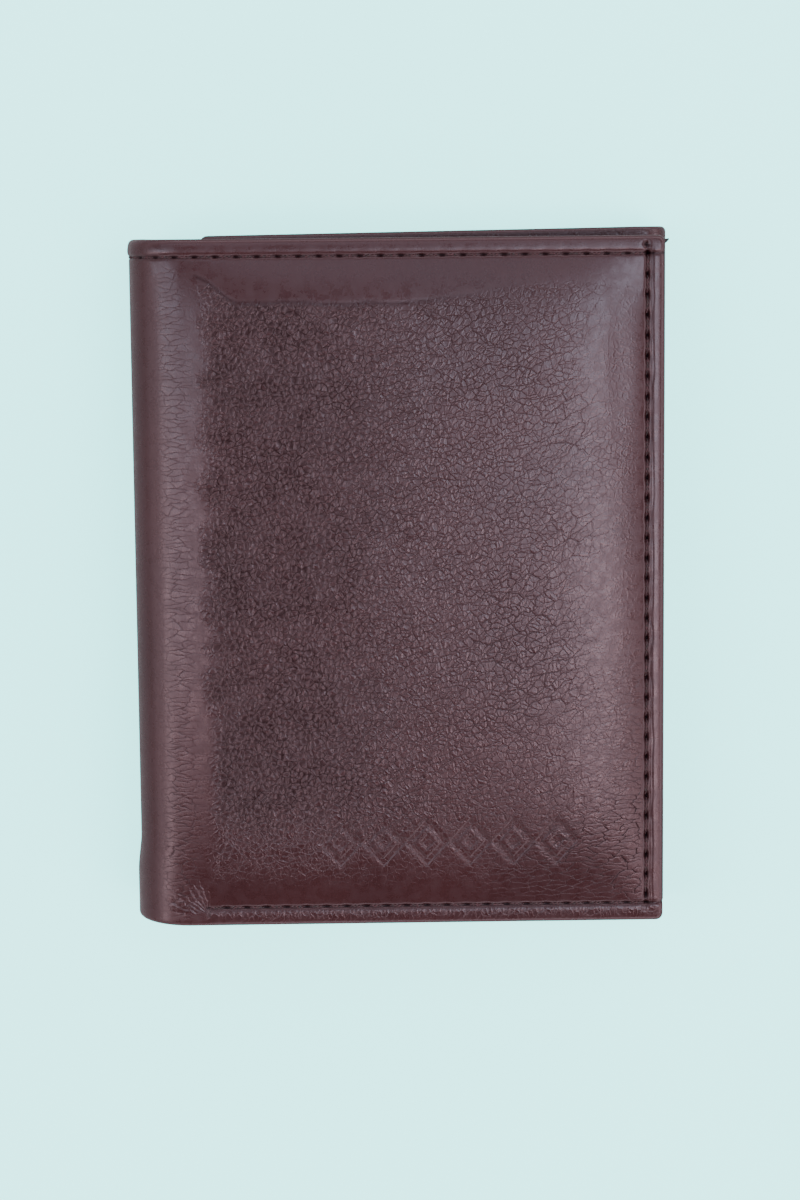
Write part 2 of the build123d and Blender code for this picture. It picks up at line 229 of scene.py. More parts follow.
def rows(low, high, pitch, round_low=0.0, round_high=0.0, fine=()):
    """Row places from low to high: closer in the rounded edges and near each fine place."""
    angles = np.linspace(math.pi / 2, 0, ROUND_STEPS + 1)[:-1]
    start = [low + round_low * (1 - math.sin(a)) for a in angles] if round_low else []
    stop = [high - round_high * (1 - math.sin(a)) for a in angles[::-1]] if round_high else []
    inner_low = low + round_low
    inner_high = high - round_high
    count = max(2, int(round((inner_high - inner_low) / pitch)) + 1)
    middle = np.linspace(inner_low, inner_high, count)
    for centre, reach, step in fine:
        middle = middle[abs(middle - centre) > reach]
        middle = np.append(middle, np.arange(centre - reach, centre + reach + step / 2, step))
    middle = middle[(middle >= inner_low - 1e-9) & (middle <= inner_high + 1e-9)]
    return np.array(sorted(set(np.round(np.concatenate([start, middle, stop]), 8))))


def nearest_edge(places, edges, radii):
    """Distance to the nearer of two edges that have a radius, and which way that edge lies."""
    gap = np.full(places.shape, FAR)
    sign = np.zeros(places.shape)
    for edge, radius, towards in zip(edges, radii, (-1, 1)):
        if radius:
            nearer = np.abs(places - edge) < gap
            gap = np.where(nearer, np.abs(places - edge), gap)
            sign = np.where(nearer, towards, sign)
    return gap, sign


def rounded_plan(u, v, ends, radii, corner):
    """Pulls the corners of a grid in to arcs, and gives each point's distance to the edge.

    The ends are (low u, high u, low v, high v), and the radii say which of them are edges.
    """
    u = u.copy()
    v = v.copy()
    to_u, sign_u = nearest_edge(u, ends[:2], radii[:2])
    to_v, sign_v = nearest_edge(v, ends[2:], radii[2:])
    distance = np.minimum(to_u, to_v)
    in_corner = (to_u < corner) & (to_v < corner)
    a = 1 - to_u[in_corner] / corner
    b = 1 - to_v[in_corner] / corner
    new_a = a * np.sqrt(1 - b * b / 2)
    new_b = b * np.sqrt(1 - a * a / 2)
    u[in_corner] += sign_u[in_corner] * (new_a - a) * corner
    v[in_corner] += sign_v[in_corner] * (new_b - b) * corner
    distance[in_corner] = corner * (1 - np.hypot(new_a, new_b))
    return u, v, np.maximum(distance, 0)


def slab(name, u_rows, v_rows, radii, height, under, to_space=place, corner=1.2 * MM,
         paint=None, coarse=4):
    """A closed sheet of some thickness, with half-round edges where the radii are not 0.

    The functions height and under give the outer and the inner face from u, v and the distance
    to the edge. The inner face has one row in every "coarse". Paint gives values kept on the
    points. An end without a radius is cut square, where the next piece of the strip goes on.
    """
    grid_u, grid_v = np.meshgrid(u_rows, v_rows, indexing="ij")
    ends = (u_rows[0], u_rows[-1], v_rows[0], v_rows[-1])
    u, v, distance = rounded_plan(grid_u, grid_v, ends, radii, corner)
    radius = max(radii)
    bite = np.clip(radius - distance, 0, radius)
    drop = radius - np.sqrt(np.maximum(radius * radius - bite * bite, 0))
    level = height(u, v, distance)
    outer = to_space(u, v, level - drop).reshape(-1, 3)
    n, m = grid_u.shape
    outer_index = np.arange(n * m).reshape(n, m)

    def thinned(places, low_radius, high_radius):
        keep_low = ROUND_STEPS if low_radius else 0
        keep_high = ROUND_STEPS if high_radius else 0
        last = len(places) - 1
        middle = list(range(keep_low, last - keep_high, coarse)) + [last - keep_high]
        return sorted(set(list(range(keep_low)) + middle + list(range(last - keep_high, last + 1))))

    iu = thinned(u_rows, radii[0], radii[1])
    iv = thinned(v_rows, radii[2], radii[3])
    under_points = []
    under_index = {}
    next_index = n * m
    for i in iu:
        for j in iv:
            on_edge = (
                (i == 0 and radii[0]) or (i == n - 1 and radii[1])
                or (j == 0 and radii[2]) or (j == m - 1 and radii[3])
            )
            if on_edge:
                under_index[i, j] = int(outer_index[i, j])
            else:
                under_index[i, j] = next_index
                under_points.append((i, j))
                next_index += 1
    pi = np.array([p[0] for p in under_points])
    pj = np.array([p[1] for p in under_points])
    low = under(u[pi, pj], v[pi, pj], distance[pi, pj]) + drop[pi, pj]
    low = np.minimum(low, level[pi, pj] - drop[pi, pj])
    points = np.concatenate([outer, to_space(u[pi, pj], v[pi, pj], low)])

    quads = [outer_index[:-1, :-1], outer_index[1:, :-1], outer_index[1:, 1:], outer_index[:-1, 1:]]
    faces = np.stack([corner_index.ravel() for corner_index in quads], axis=1).tolist()

    def edge_run(fixed, low, high, along_u):
        """Outer points strictly between two steps, along an edge."""
        between = range(low + 1, high)
        return [int(outer_index[k, fixed] if along_u else outer_index[fixed, k]) for k in between]

    for i0, i1 in zip(iu[:-1], iu[1:]):
        for j0, j1 in zip(iv[:-1], iv[1:]):
            loop = [under_index[i0, j0]]
            if i0 == 0 and radii[0]:
                loop += edge_run(0, j0, j1, False)
            loop.append(under_index[i0, j1])
            if j1 == m - 1 and radii[3]:
                loop += edge_run(m - 1, i0, i1, True)
            loop.append(under_index[i1, j1])
            if i1 == n - 1 and radii[1]:
                loop += edge_run(n - 1, j0, j1, False)[::-1]
            loop.append(under_index[i1, j0])
            if j0 == 0 and radii[2]:
                loop += edge_run(0, i0, i1, True)[::-1]
            faces.append(loop)

    def cap(fixed, steps, along_u, flip):
        """Closes a square end."""
        for k0, k1 in zip(steps[:-1], steps[1:]):
            ring = edge_run(fixed, k0 - 1, k1 + 1, along_u)
            ring += [under_index[(k, fixed) if along_u else (fixed, k)] for k in (k1, k0)]
            ring = list(dict.fromkeys(ring))
            if len(ring) > 2:
                faces.append(ring[::-1] if flip else ring)

    square_ends = (
        (0, iv, False, False), (n - 1, iv, False, True), (0, iu, True, True), (m - 1, iu, True, False),
    )
    for edge_radius, square_end in zip(radii, square_ends):
        if not edge_radius:
            cap(*square_end)

    mesh = bpy.data.meshes.new(name)
    mesh.from_pydata(points.tolist(), [], faces)
    mesh.validate()
    mesh.polygons.foreach_set("use_smooth", np.ones(len(mesh.polygons), bool))
    mesh.set_sharp_from_angle(angle=SHARP_ANGLE)
    all_u = np.concatenate([u.ravel(), u[pi, pj]])
    all_v = np.concatenate([v.ravel(), v[pi, pj]])
    rest = np.stack([all_u, all_v, np.zeros(len(all_u))], axis=1) / MM
    rest[n * m:, 0] += UNDER_SHIFT
    keep_values(mesh, "rest_mm", rest)
    all_d = np.concatenate([distance.ravel(), distance[pi, pj]])
    for key, function in (paint or {}).items():
        keep_values(mesh, key, function(all_u, all_v, all_d))
    work = bmesh.new()
    work.from_mesh(mesh)
    bmesh.ops.recalc_face_normals(work, faces=work.faces)
    work.to_mesh(mesh)
    work.free()
    return linked(name, mesh)


def keep_values(mesh, key, values):
    """Stores a number or a vector for each point of a mesh, for its material to read."""
    values = np.asarray(values, np.float32)
    kind, field = ("FLOAT_VECTOR", "vector") if values.ndim == 2 else ("FLOAT", "value")
    attribute = mesh.attributes.new(key, kind, "POINT")
    attribute.data.foreach_set(field, values.ravel())


# ---- node graphs ------------------------------------------------------------------------


# a Mix node's colour sockets share their names with its other sockets, so they go by number
MIX_A, MIX_B, MIX_RESULT = 6, 7, 2


class Graph:
    """Adds texture and math nodes to a shader tree or a geometry tree."""

    def __init__(self, tree):
        self.tree = tree

    def node(self, kind, inputs=None, **settings):
        made = self.tree.nodes.new(kind)
        for key, value in settings.items():
            setattr(made, key, value)
        self.feed(made, inputs or {})
        return made

    def feed(self, node, inputs):
        """Links or sets a node's inputs."""
        for key, value in inputs.items():
            if isinstance(value, bpy.types.NodeSocket):
                self.tree.links.new(value, node.inputs[key])
            else:
                node.inputs[key].default_value = value

    def math(self, operation, a, b=0.0, c=0.0, clamp=False):
        made = self.node("ShaderNodeMath", {0: a, 1: b, 2: c}, operation=operation, use_clamp=clamp)
        return made.outputs[0]

    def times(self, a, b):
        return self.math("MULTIPLY", a, b)

    def vector(self, operation, a, b=(0.0, 0.0, 0.0)):
        made = self.node("ShaderNodeVectorMath", {0: a, 1: b}, operation=operation)
        return made.outputs["Value" if operation == "LENGTH" else "Vector"]

    def ramp(self, value, low, high, to_low=0.0, to_high=1.0):
        """Maps low..high smoothly on to to_low..to_high."""
        inputs = {"Value": value, "From Min": low, "From Max": high, "To Min": to_low, "To Max": to_high}
        made = self.node("ShaderNodeMapRange", inputs, interpolation_type="SMOOTHSTEP")
        return made.outputs["Result"]

    def noise(self, coords, scale, detail=2.0, roughness=0.5, colour=False):
        inputs = {"Vector": coords, "Scale": scale, "Detail": detail, "Roughness": roughness}
        made = self.node("ShaderNodeTexNoise", inputs, noise_dimensions="2D")
        return made.outputs["Color" if colour else "Fac"]

    def cracks(self, coords):
        """Distance to the nearest border between irregular cells of about unit size."""
        inputs = {"Vector": coords, "Scale": 1.0, "Randomness": 1.0}
        made = self.node(
            "ShaderNodeTexVoronoi", inputs, voronoi_dimensions="2D", feature="DISTANCE_TO_EDGE"
        )
        return made.outputs["Distance"]

    def mix(self, share, a, b):
        """Colour a, replaced by colour b by this share."""
        made = self.node("ShaderNodeMix", data_type="RGBA")
        self.feed(made, {"Factor": share, MIX_A: a, MIX_B: b})
        return made.outputs[MIX_RESULT]

    def bump(self, height, distance, strength):
        inputs = {"Height": height, "Distance": distance, "Strength": strength}
        return self.node("ShaderNodeBump", inputs).outputs[0]

    def value(self, key, vector=False):
        """A value kept on the points of the mesh."""
        if self.tree.bl_idname == "GeometryNodeTree":
            kind = "FLOAT_VECTOR" if vector else "FLOAT"
            made = self.node("GeometryNodeInputNamedAttribute", {"Name": key}, data_type=kind)
            return made.outputs["Attribute"]
        made = self.node("ShaderNodeAttribute", attribute_name=key, attribute_type="GEOMETRY")
        return made.outputs["Vector" if vector else "Fac"]


def creases(graph, coords, angle, along, across, width, swell):
    """Lines between cells of 1/along by 1/across mm, and the cells' rounded edges.

    Both are 1 on a line. The line falls to 0 over its width and the edge over its swell, which
    are shares of a cell.
    """
    inputs = {"Vector": coords, "Angle": math.radians(angle)}
    turned = graph.node("ShaderNodeVectorRotate", inputs, rotation_type="Z_AXIS").outputs[0]
    edge = graph.cracks(graph.vector("MULTIPLY", turned, (along, across, 1.0)))
    return graph.ramp(edge, 0.0, width, 1.0, 0.0), graph.ramp(edge, 0.0, swell, 1.0, 0.0)


FAN_REACH = 8.0
FAN_RIDGES = 30.0
FAN_BEND = 11.0

# turn, cells per mm along and across, line width and swell
RIDGE_NET = (-12, 1.2, 0.82, 0.19, 0.42)
VEIN_NET = (8, 0.62, 0.30, 0.055, 0.1)
# mask, the same five numbers, and depths of the line and of the swell in mm
CREASE_LAYERS = (
    ("grain", 20, 0.78, 1.0, 0.082, 0.20, 0.062, 0.020),
    ("drag", 40, 0.26, 0.60, 0.045, 0.11, 0.060, 0.016),
    ("fold", 3, 0.32, 1.15, 0.056, 0.26, 0.040, 0.012),
)
MESH_SWELL = 0.25  # share of the swell's depth that the mesh takes
# heights in mm
FAN_HEIGHT = 0.034
RIDGE_HEIGHT = 0.078
PIT_DEPTH = 0.030
VEIN_HEIGHT = 0.05
PORE_HEIGHT = 0.003
# how much the lines wander, in mm, and the scales of that wandering and of the fainter patches
WARP = (1.3, 1.3, 0.0)
WARP_SCALE = 0.42
PATCH_SCALE = 0.2


def fan(graph, coords):
    """Pinched ridges, -1 to 1, that spread up and left from the start of the bottom seam."""
    parts = graph.node("ShaderNodeSeparateXYZ", {0: coords})
    x = graph.math("SUBTRACT", parts.outputs[0], BOTTOM_SEAM_END / MM)
    y = graph.math("SUBTRACT", parts.outputs[1], (BOTTOM + SEAM_BOTTOM) / MM - 1.5)
    angle = graph.math("ARCTAN2", y, graph.math("ADD", x, 1.2))
    reach = graph.vector("LENGTH", graph.node("ShaderNodeCombineXYZ", {0: x, 1: y}).outputs[0])
    bent = graph.times(graph.noise(coords, 0.7, 3.0), FAN_BEND)
    wave = graph.math("COSINE", graph.math("MULTIPLY_ADD", angle, FAN_RIDGES, bent))
    near = graph.times(graph.ramp(reach, 0.3, 1.6), graph.ramp(reach, 4.0, FAN_REACH, 1.0, 0.0))
    window = graph.times(graph.ramp(angle, 0.05, 0.3), graph.ramp(angle, 1.3, 1.75, 1.0, 0.0))
    return graph.times(wave, graph.times(near, window))


def leather_relief(graph, drawn=True):
    """Height of the grain in millimetres, and how open its creases are (0 to 1).

    Lines too thin for the mesh are left out unless they are drawn by a material.
    """
    coords = graph.value("rest_mm", vector=True)
    push = graph.noise(coords, WARP_SCALE, 3.0, colour=True)
    push = graph.vector("SUBTRACT", push, (0.5, 0.5, 0.5))
    warped = graph.vector("ADD", coords, graph.vector("MULTIPLY", push, WARP))
    patchy = graph.ramp(graph.noise(coords, PATCH_SCALE, 3.0), 0.30, 0.65, 0.7, 1.0)
    height = None
    opened = None
    for mask, *net, deep, shoulder_deep in CREASE_LAYERS:
        line, shoulder = creases(graph, warped, *net)
        strength = graph.value(mask)
        if mask == "grain":
            strength = graph.times(strength, patchy)
        swell_deep = -shoulder_deep * (1.0 if drawn else MESH_SWELL)
        lowered = graph.times(graph.times(shoulder, swell_deep), strength)
        height = graph.math("ADD", height, lowered) if height else lowered
        cut = graph.times(line, strength)
        opened = graph.math("MAXIMUM", opened, cut) if opened else cut
        if drawn:
            height = graph.math("MULTIPLY_ADD", cut, -deep, height)
    pinched_up = graph.times(fan(graph, coords), graph.value("pinch"))
    height = graph.math("MULTIPLY_ADD", pinched_up, FAN_HEIGHT, height)
    if drawn:
        ridge, shoulder = creases(graph, warped, *RIDGE_NET)
        strength = graph.times(graph.value("fine"), patchy)
        height = graph.math("MULTIPLY_ADD", graph.times(ridge, strength), RIDGE_HEIGHT, height)
        pit = graph.times(graph.math("SUBTRACT", 1.0, shoulder), strength)
        height = graph.math("MULTIPLY_ADD", pit, -PIT_DEPTH, height)
        opened = graph.math("MAXIMUM", opened, graph.times(pit, 0.7))
        vein = graph.times(creases(graph, warped, *VEIN_NET)[0], strength)
        height = graph.math("MULTIPLY_ADD", vein, VEIN_HEIGHT, height)
        opened = graph.math("SUBTRACT", opened, graph.times(vein, 0.6), clamp=True)
        pores = graph.noise(coords, 6.0, 3.0, 0.6)
        height = graph.math("MULTIPLY_ADD", pores, PORE_HEIGHT, height)
    return height, opened


def relief_tree():
    """A geometry tree that presses the coarse part of the grain into a leather piece."""
    tree = bpy.data.node_groups.new("press_grain", "GeometryNodeTree")
    for side in ("INPUT", "OUTPUT"):
        tree.interface.new_socket("Geometry", in_out=side, socket_type="NodeSocketGeometry")
    graph = Graph(tree)
    source = graph.node("NodeGroupInput")
    target = graph.node("NodeGroupOutput")
    metres = graph.times(leather_relief(graph, drawn=False)[0], MM)
    normal = graph.node("GeometryNodeInputNormal").outputs[0]
    offset = graph.node("ShaderNodeVectorMath", {0: normal, "Scale": metres}, operation="SCALE")
    inputs = {"Geometry": source.outputs[0], "Offset": offset.outputs[0]}
    move = graph.node("GeometryNodeSetPosition", inputs)
    tree.links.new(move.outputs[0], target.inputs[0])
    return tree


PRESS = relief_tree()


def press_grain(piece):
    """Displaces the mesh by the same grain that its material draws."""
    modifier = piece.modifiers.new("press", "NODES")
    modifier.node_group = PRESS
    graph = bpy.context.evaluated_depsgraph_get()
    pressed = bpy.data.meshes.new_from_object(piece.evaluated_get(graph))
    pressed.name = piece.name
    piece.modifiers.clear()
    old = piece.data
    piece.data = pressed
    bpy.data.meshes.remove(old)


def shader(name):
    """A new material, its graph and its Principled shader."""
    material = bpy.data.materials.new(name)
    material.use_nodes = True
    tree = material.node_tree
    return material, Graph(tree), tree.nodes["Principled BSDF"]


BAND_U = 36.5
BAND_V = -43.6
BAND_PITCH = 7.3
BAND_HALF_WIDTH = 3.0
BAND_HALF_HEIGHT = 3.4
BAND_LINE = 0.42
BAND_HALF_COUNT = 3
BAND_DEPTH = 0.1 * MM
BAND_DEPTH_DRAWN = 0.11
BAND_SCALE = BAND_HALF_WIDTH * BAND_HALF_HEIGHT / math.hypot(BAND_HALF_WIDTH, BAND_HALF_HEIGHT)


def band(graph, coords):
    """The crisp walls of the pressed lozenges, six in a row: 1 where the leather is pressed in."""
    parts = graph.node("ShaderNodeSeparateXYZ", {0: coords})
    across = graph.math("MULTIPLY_ADD", parts.outputs[0], 1 / BAND_PITCH, -BAND_U / BAND_PITCH)
    in_cell = graph.math("SUBTRACT", graph.math("FRACT", across), 0.5)
    a = graph.times(graph.math("ABSOLUTE", in_cell), BAND_PITCH / BAND_HALF_WIDTH)
    b = graph.math("ABSOLUTE", graph.math("SUBTRACT", parts.outputs[1], BAND_V))
    around = graph.math("MULTIPLY_ADD", b, 1 / BAND_HALF_HEIGHT, graph.math("SUBTRACT", a, 1.0))
    around = graph.times(around, BAND_SCALE)
    ring = graph.ramp(graph.math("ABSOLUTE", around), BAND_LINE - 0.1, BAND_LINE + 0.2, 1.0, 0.0)
    core = graph.ramp(around, -1.5, -1.2, 1.0, 0.0)
    past_ends = graph.math("ABSOLUTE", across)
    inside = graph.ramp(past_ends, BAND_HALF_COUNT - 0.05, BAND_HALF_COUNT, 1.0, 0.0)
    return graph.times(graph.math("MAXIMUM", ring, core), inside)


# painted shade: the first darkens the grain's creases and pits, the second the seams, needle holes and
# other creases
CREASE_SHADE_COLOUR = (0.012, 0.004, 0.005, 1)
PAINTED_SHADE_COLOUR = (0.006, 0.002, 0.003, 1)
LEATHER_SHEEN = (1.0, 0.80, 0.92, 1)


def leather(name, base, deep, worn, roughness, stamped=False):
    """Grained leather: painted shade in its creases and seams, a little rubbed on its lips."""
    material, graph, surface = shader(name)
    height, opened = leather_relief(graph)
    coords = graph.value("rest_mm", vector=True)
    # painted shade of the seams, needle holes and creases, kept on the points
    painted_shade = graph.value("painted_shade")
    if stamped:
        height = graph.math("MULTIPLY_ADD", band(graph, coords), -BAND_DEPTH_DRAWN, height)
    cloud = graph.ramp(graph.noise(coords, 0.045, 3.0), 0.3, 0.7)
    colour = graph.mix(graph.times(cloud, 0.5), base, deep)
    colour = graph.mix(graph.value("wear"), colour, worn)
    # painted shade in the grain's creases and pits
    colour = graph.mix(graph.times(opened, 0.8), colour, CREASE_SHADE_COLOUR)
    streak = graph.noise(coords, 0.5, 4.0, 0.6)
    rough = graph.ramp(streak, 0.25, 0.75, roughness - 0.05, roughness + 0.07)
    shaded = graph.math("MAXIMUM", graph.math("POWER", opened, 1.2), painted_shade)
    graph.feed(surface, {
        # painted shade in the seams, needle holes and creases
        "Base Color": graph.mix(painted_shade, colour, PAINTED_SHADE_COLOUR),
        "Roughness": graph.math("MULTIPLY_ADD", opened, 0.25, rough),
        "Specular IOR Level": graph.math("MULTIPLY_ADD", shaded, -0.46, 0.5),
        "Specular Tint": LEATHER_SHEEN,
        "Normal": graph.bump(height, MM, 1.0),
    })
    return material


def cloth(name, light, dark, pitch):
    """Plain-woven cloth, its threads drawn by two crossed waves."""
    material, graph, surface = shader(name)
    coords = graph.value("rest_mm", vector=True)
    parts = graph.node("ShaderNodeSeparateXYZ", {0: coords})
    turns = 2 * math.pi / pitch
    warp, weft = (graph.math("SINE", graph.times(parts.outputs[axis], turns)) for axis in (0, 1))
    weave = graph.times(warp, weft)
    slub = graph.noise(graph.vector("MULTIPLY", coords, (0.4, 3.0, 1.0)), 1.0, 2.0)
    share = graph.ramp(graph.math("ADD", weave, slub), -0.6, 1.6)
    graph.feed(surface, {
        "Base Color": graph.mix(share, dark, light),
        "Normal": graph.bump(weave, 0.04 * MM, 0.8),
        "Roughness": graph.ramp(slub, 0.2, 0.8, 0.72, 0.9),
        "Sheen Weight": 0.25,
        "Sheen Roughness": 0.5,
    })
    return material


def object_noise(graph, scale, detail):
    """Noise laid out in the piece's own metres."""
    place_on = graph.node("ShaderNodeTexCoord").outputs["Object"]
    inputs = {"Vector": place_on, "Scale": scale, "Detail": detail}
    return graph.node("ShaderNodeTexNoise", inputs).outputs["Fac"]


def speckled(name, light, dark, scale, roughness, bump_mm):
    """A plain solid such as board, foam or thread, mottled at one scale."""
    material, graph, surface = shader(name)
    share = graph.ramp(object_noise(graph, scale, 4.0), 0.35, 0.65)
    graph.feed(surface, {
        "Base Color": graph.mix(share, dark, light),
        "Roughness": graph.ramp(share, 0, 1, roughness - 0.08, roughness + 0.08),
        "Normal": graph.bump(share, bump_mm * MM, 0.8),
    })
    return material


def film(name):
    """Clear soft film with faint waves."""
    material, graph, surface = shader(name)
    waves = object_noise(graph, 90.0, 2.0)
    graph.feed(surface, {
        "Base Color": (0.9, 0.93, 0.94, 1),
        "Roughness": graph.ramp(waves, 0.3, 0.7, 0.06, 0.16),
        "Normal": graph.bump(waves, 0.25 * MM, 0.5),
        "Alpha": 0.28,
        "IOR": 1.5,
    })
    return material


OUTER = leather("outer_leather", (0.040, 0.0112, 0.0125, 1), (0.030, 0.0085, 0.0098, 1),
                (0.055, 0.019, 0.021, 1), 0.28, stamped=True)
INNER = leather("inner_leather", (0.030, 0.0095, 0.011, 1), (0.020, 0.0065, 0.0078, 1),
                (0.05, 0.02, 0.022, 1), 0.42)
LINING = cloth("lining_cloth", (0.035, 0.028, 0.033, 1), (0.010, 0.008, 0.010, 1), 0.55)
THREAD = speckled("thread", (0.075, 0.019, 0.026, 1), (0.022, 0.006, 0.008, 1), 2600.0, 0.55, 0.05)
FOAM = speckled("foam", (0.62, 0.6, 0.55, 1), (0.42, 0.4, 0.36, 1), 1800.0, 0.9, 0.1)
BOARD = speckled("board", (0.42, 0.34, 0.25, 1), (0.27, 0.21, 0.15, 1), 700.0, 0.85, 0.05)
FILM = film("clear_film")


def dress(piece, material, slot, *nodes):
    """Gives a piece its material and hides the CAD nodes that it stands for; the slot is not used."""
    piece.data.materials.clear()
    piece.data.materials.append(material)
    if nodes:
        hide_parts(*nodes)


# ---- relief of the shell's faces --------------------------------------------------------

EDGE_RADIUS = 0.85 * MM
LAYER_GAP = 0.02 * MM

MID_SPINE = (start_of("left_spine") + end_of("left_spine")) / 2
MID_BACK = (start_of("back") + end_of("back")) / 2
MID_RIGHT = (start_of("right_spine") + end_of("right_spine")) / 2

TABLE_SIZE = 128
table = np.random.default_rng(11).random((TABLE_SIZE, TABLE_SIZE))


def lattice(x, y):
    """Smooth random values from 0 to 1, one per unit square."""
    x, y = np.broadcast_arrays(x, y)
    xi = np.floor(x).astype(int)
    yi = np.floor(y).astype(int)
    fx = smooth(x - xi)
    fy = smooth(y - yi)
    left, right = xi % TABLE_SIZE, (xi + 1) % TABLE_SIZE
    low, high = (
        table[left, row % TABLE_SIZE] * (1 - fx) + table[right, row % TABLE_SIZE] * fx
        for row in (yi, yi + 1)
    )
    return low * (1 - fy) + high * fy


def bell(t):
    return np.exp(-t * t)


def at_holes(along):
    """1 at the needle holes of a seam and 0 halfway between them."""
    return 0.5 + 0.5 * np.cos(2 * math.pi * along / STITCH_PITCH)


def seam(distance, line, along, lip=0.24 * MM, bold=0.0):
    """A sewn line at a distance from an edge: a rounded lip, a groove and dips at the holes.

    A bold seam, from 0 to 1, is wider and its holes are torn open.
    """
    raised = lip * np.sin(math.pi * np.clip(distance / line, 0, 1) ** 1.6)
    groove = -(0.2 + 0.06 * bold) * MM * bell((distance - line) / ((0.28 + 0.06 * bold) * MM))
    pulled = -0.07 * MM * at_holes(along) ** 2 * np.exp(-np.abs(distance - line) / (0.7 * MM))
    hole = -(0.14 + 0.26 * bold) * MM * at_holes(along) ** 3
    return raised + groove + pulled + hole * bell((distance - line) / ((0.27 + 0.03 * bold) * MM))


# painted shade along a seam: a dark line in its groove, weaker for a bold seam, and dark spots at its
# needle holes, stronger for a bold seam
def seam_painted_shade(distance, line, along, bold=0.0):
    line_dark = (0.5 - 0.3 * bold) * bell((distance - line) / ((0.2 + 0.3 * bold) * MM))
    hole_dark = (0.65 + 0.45 * bold) * at_holes(along) ** (1.7 + 0.5 * bold)
    return np.clip(line_dark + hole_dark * bell((distance - line) / ((0.2 + 0.04 * bold) * MM)), 0, 1)


def lip_crease(u, v):
    """Across an uneven crease along the side seam's lip, in half widths."""
    middle = 1.95 * MM + 0.45 * MM * (lattice(3.5, v / (3 * MM)) - 0.5)
    return (u - middle) / (0.15 * MM)


def ornament(u, v):
    """A blind-pressed band of lozenges, low on the cover: 0 outside it and 1 inside."""
    a = (u - BAND_U * MM) / (BAND_PITCH * MM)
    outermost = BAND_HALF_COUNT - 0.5
    a = (a - np.clip(np.round(a - 0.5) + 0.5, -outermost, outermost)) * BAND_PITCH
    b = (v - BAND_V * MM) / MM
    around = (np.abs(a) / BAND_HALF_WIDTH + np.abs(b) / BAND_HALF_HEIGHT - 1) * BAND_SCALE
    ring = 1 - smooth((np.abs(around) - BAND_LINE) / 0.4)
    core = 1 - smooth((around + 1.5) / 0.4)
    return np.maximum(ring, core)


PAD_RISE = 2.2 * MM
ROLL_START = PAD_EDGE + 7.7 * MM


def swelling(distance, reach):
    """Rises from 0 at a seam towards 1, steepest beside the seam."""
    return np.tanh(np.maximum(distance, 0) / reach)


def rolling(distance, reach):
    """Rises from 0 towards 1, steepest one reach from its start."""
    t = np.maximum(distance, 0) / reach
    return 1 - (1 + t) * np.exp(-t)


def spine_flare(u, v):
    """The spine stands out a little at the bottom, where no seam holds it in."""
    return 0.85 * MM * smooth((BOTTOM + 15 * MM - v) / (7 * MM)) * bell((u - MID_SPINE) / (8 * MM))


def cover_swell(u, v):
    """The padded cover's shape without its seams."""
    pad = swelling(u - SEAM_SIDE, 7.5 * MM) * rolling(ROLL_START - u, 4.5 * MM)
    pad = pad * swelling(TOP - v - SEAM_TOP, 7.5 * MM) * swelling(v - BOTTOM - SEAM_BOTTOM, 9.5 * MM)
    uneven = 0.16 * MM * (lattice(u / (17 * MM), v / (21 * MM)) - 0.5)
    dimple = -0.14 * MM * bell((u - 7.6 * MM) / (2.2 * MM)) * bell((v - 36 * MM) / (11 * MM))
    return (PAD_RISE + uneven) * pad + dimple + spine_flare(u, v)


def side_seam_on(v):
    """1 along the cover's side seam, and 0 past its ends."""
    return smooth((TOP - v - 2 * MM) / (0.8 * MM)) * smooth((v - BOTTOM - SEAM_BOTTOM + MM) / MM)


def from_keyhole(u, v):
    """Distance from the torn hole at the cover's top right corner."""
    return np.hypot(u - 3.1 * MM, TOP - v - 1.5 * MM)


def cover_height(u, v, distance):
    side_on = side_seam_on(v)
    side = seam(u, SEAM_SIDE, TOP_LINE - v, bold=1.0) * side_on
    side = side - 0.07 * MM * bell(lip_crease(u, v)) * side_on
    top = seam(TOP - v, SEAM_TOP, u - SEAM_SIDE)
    bottom_on = smooth((BOTTOM_SEAM_END - u) / (1.5 * MM))
    bottom = seam(v - BOTTOM, SEAM_BOTTOM, u - SEAM_SIDE) * bottom_on
    keyhole = -0.7 * MM * bell(from_keyhole(u, v) / (0.42 * MM))
    pressed = -BAND_DEPTH * ornament(u, v)
    crease = -0.09 * MM * pinched(u, v)
    return cover_swell(u, v) + side + top + bottom + keyhole + pressed + crease


def turned_edge(distance):
    """Thickness of the leather, which is turned over along its edges."""
    return 2 * EDGE_RADIUS - 0.5 * MM * smooth((distance - 2.4 * MM) / MM)


def cover_under(u, v, distance):
    return cover_swell(u, v) - turned_edge(distance)


def pad_border(u, v):
    """Distance in millimetres below the pinched line where the pad starts under the top seam."""
    across = u / MM
    line = 3.0 + 4.8 * smooth((PAD_EDGE_MM - across) / 8) - 3.2 * smooth((44 - across) / 26)
    return (TOP - v) / MM - SEAM_TOP / MM - line - 0.9 * (lattice(across / 3.5, 5.5) - 0.5)


def cover_inside(u, v):
    """1 over the grained middle of the cover, 0 in its smooth borders."""
    d_bottom = (v - BOTTOM) / MM
    across = u / MM
    inside = smooth(pad_border(u, v) / 0.9 + 0.2) * smooth((across - 3.6) / 3)
    inside = inside * (0.25 * smooth((d_bottom - 5) / 5) + 0.75 * smooth((d_bottom - 9) / 15))
    ragged = 3.0 * (lattice(u / (4 * MM) + 9, v / (2.5 * MM)) - 0.5)
    return inside * smooth((PAD_EDGE_MM + ragged - across) / 4.0)


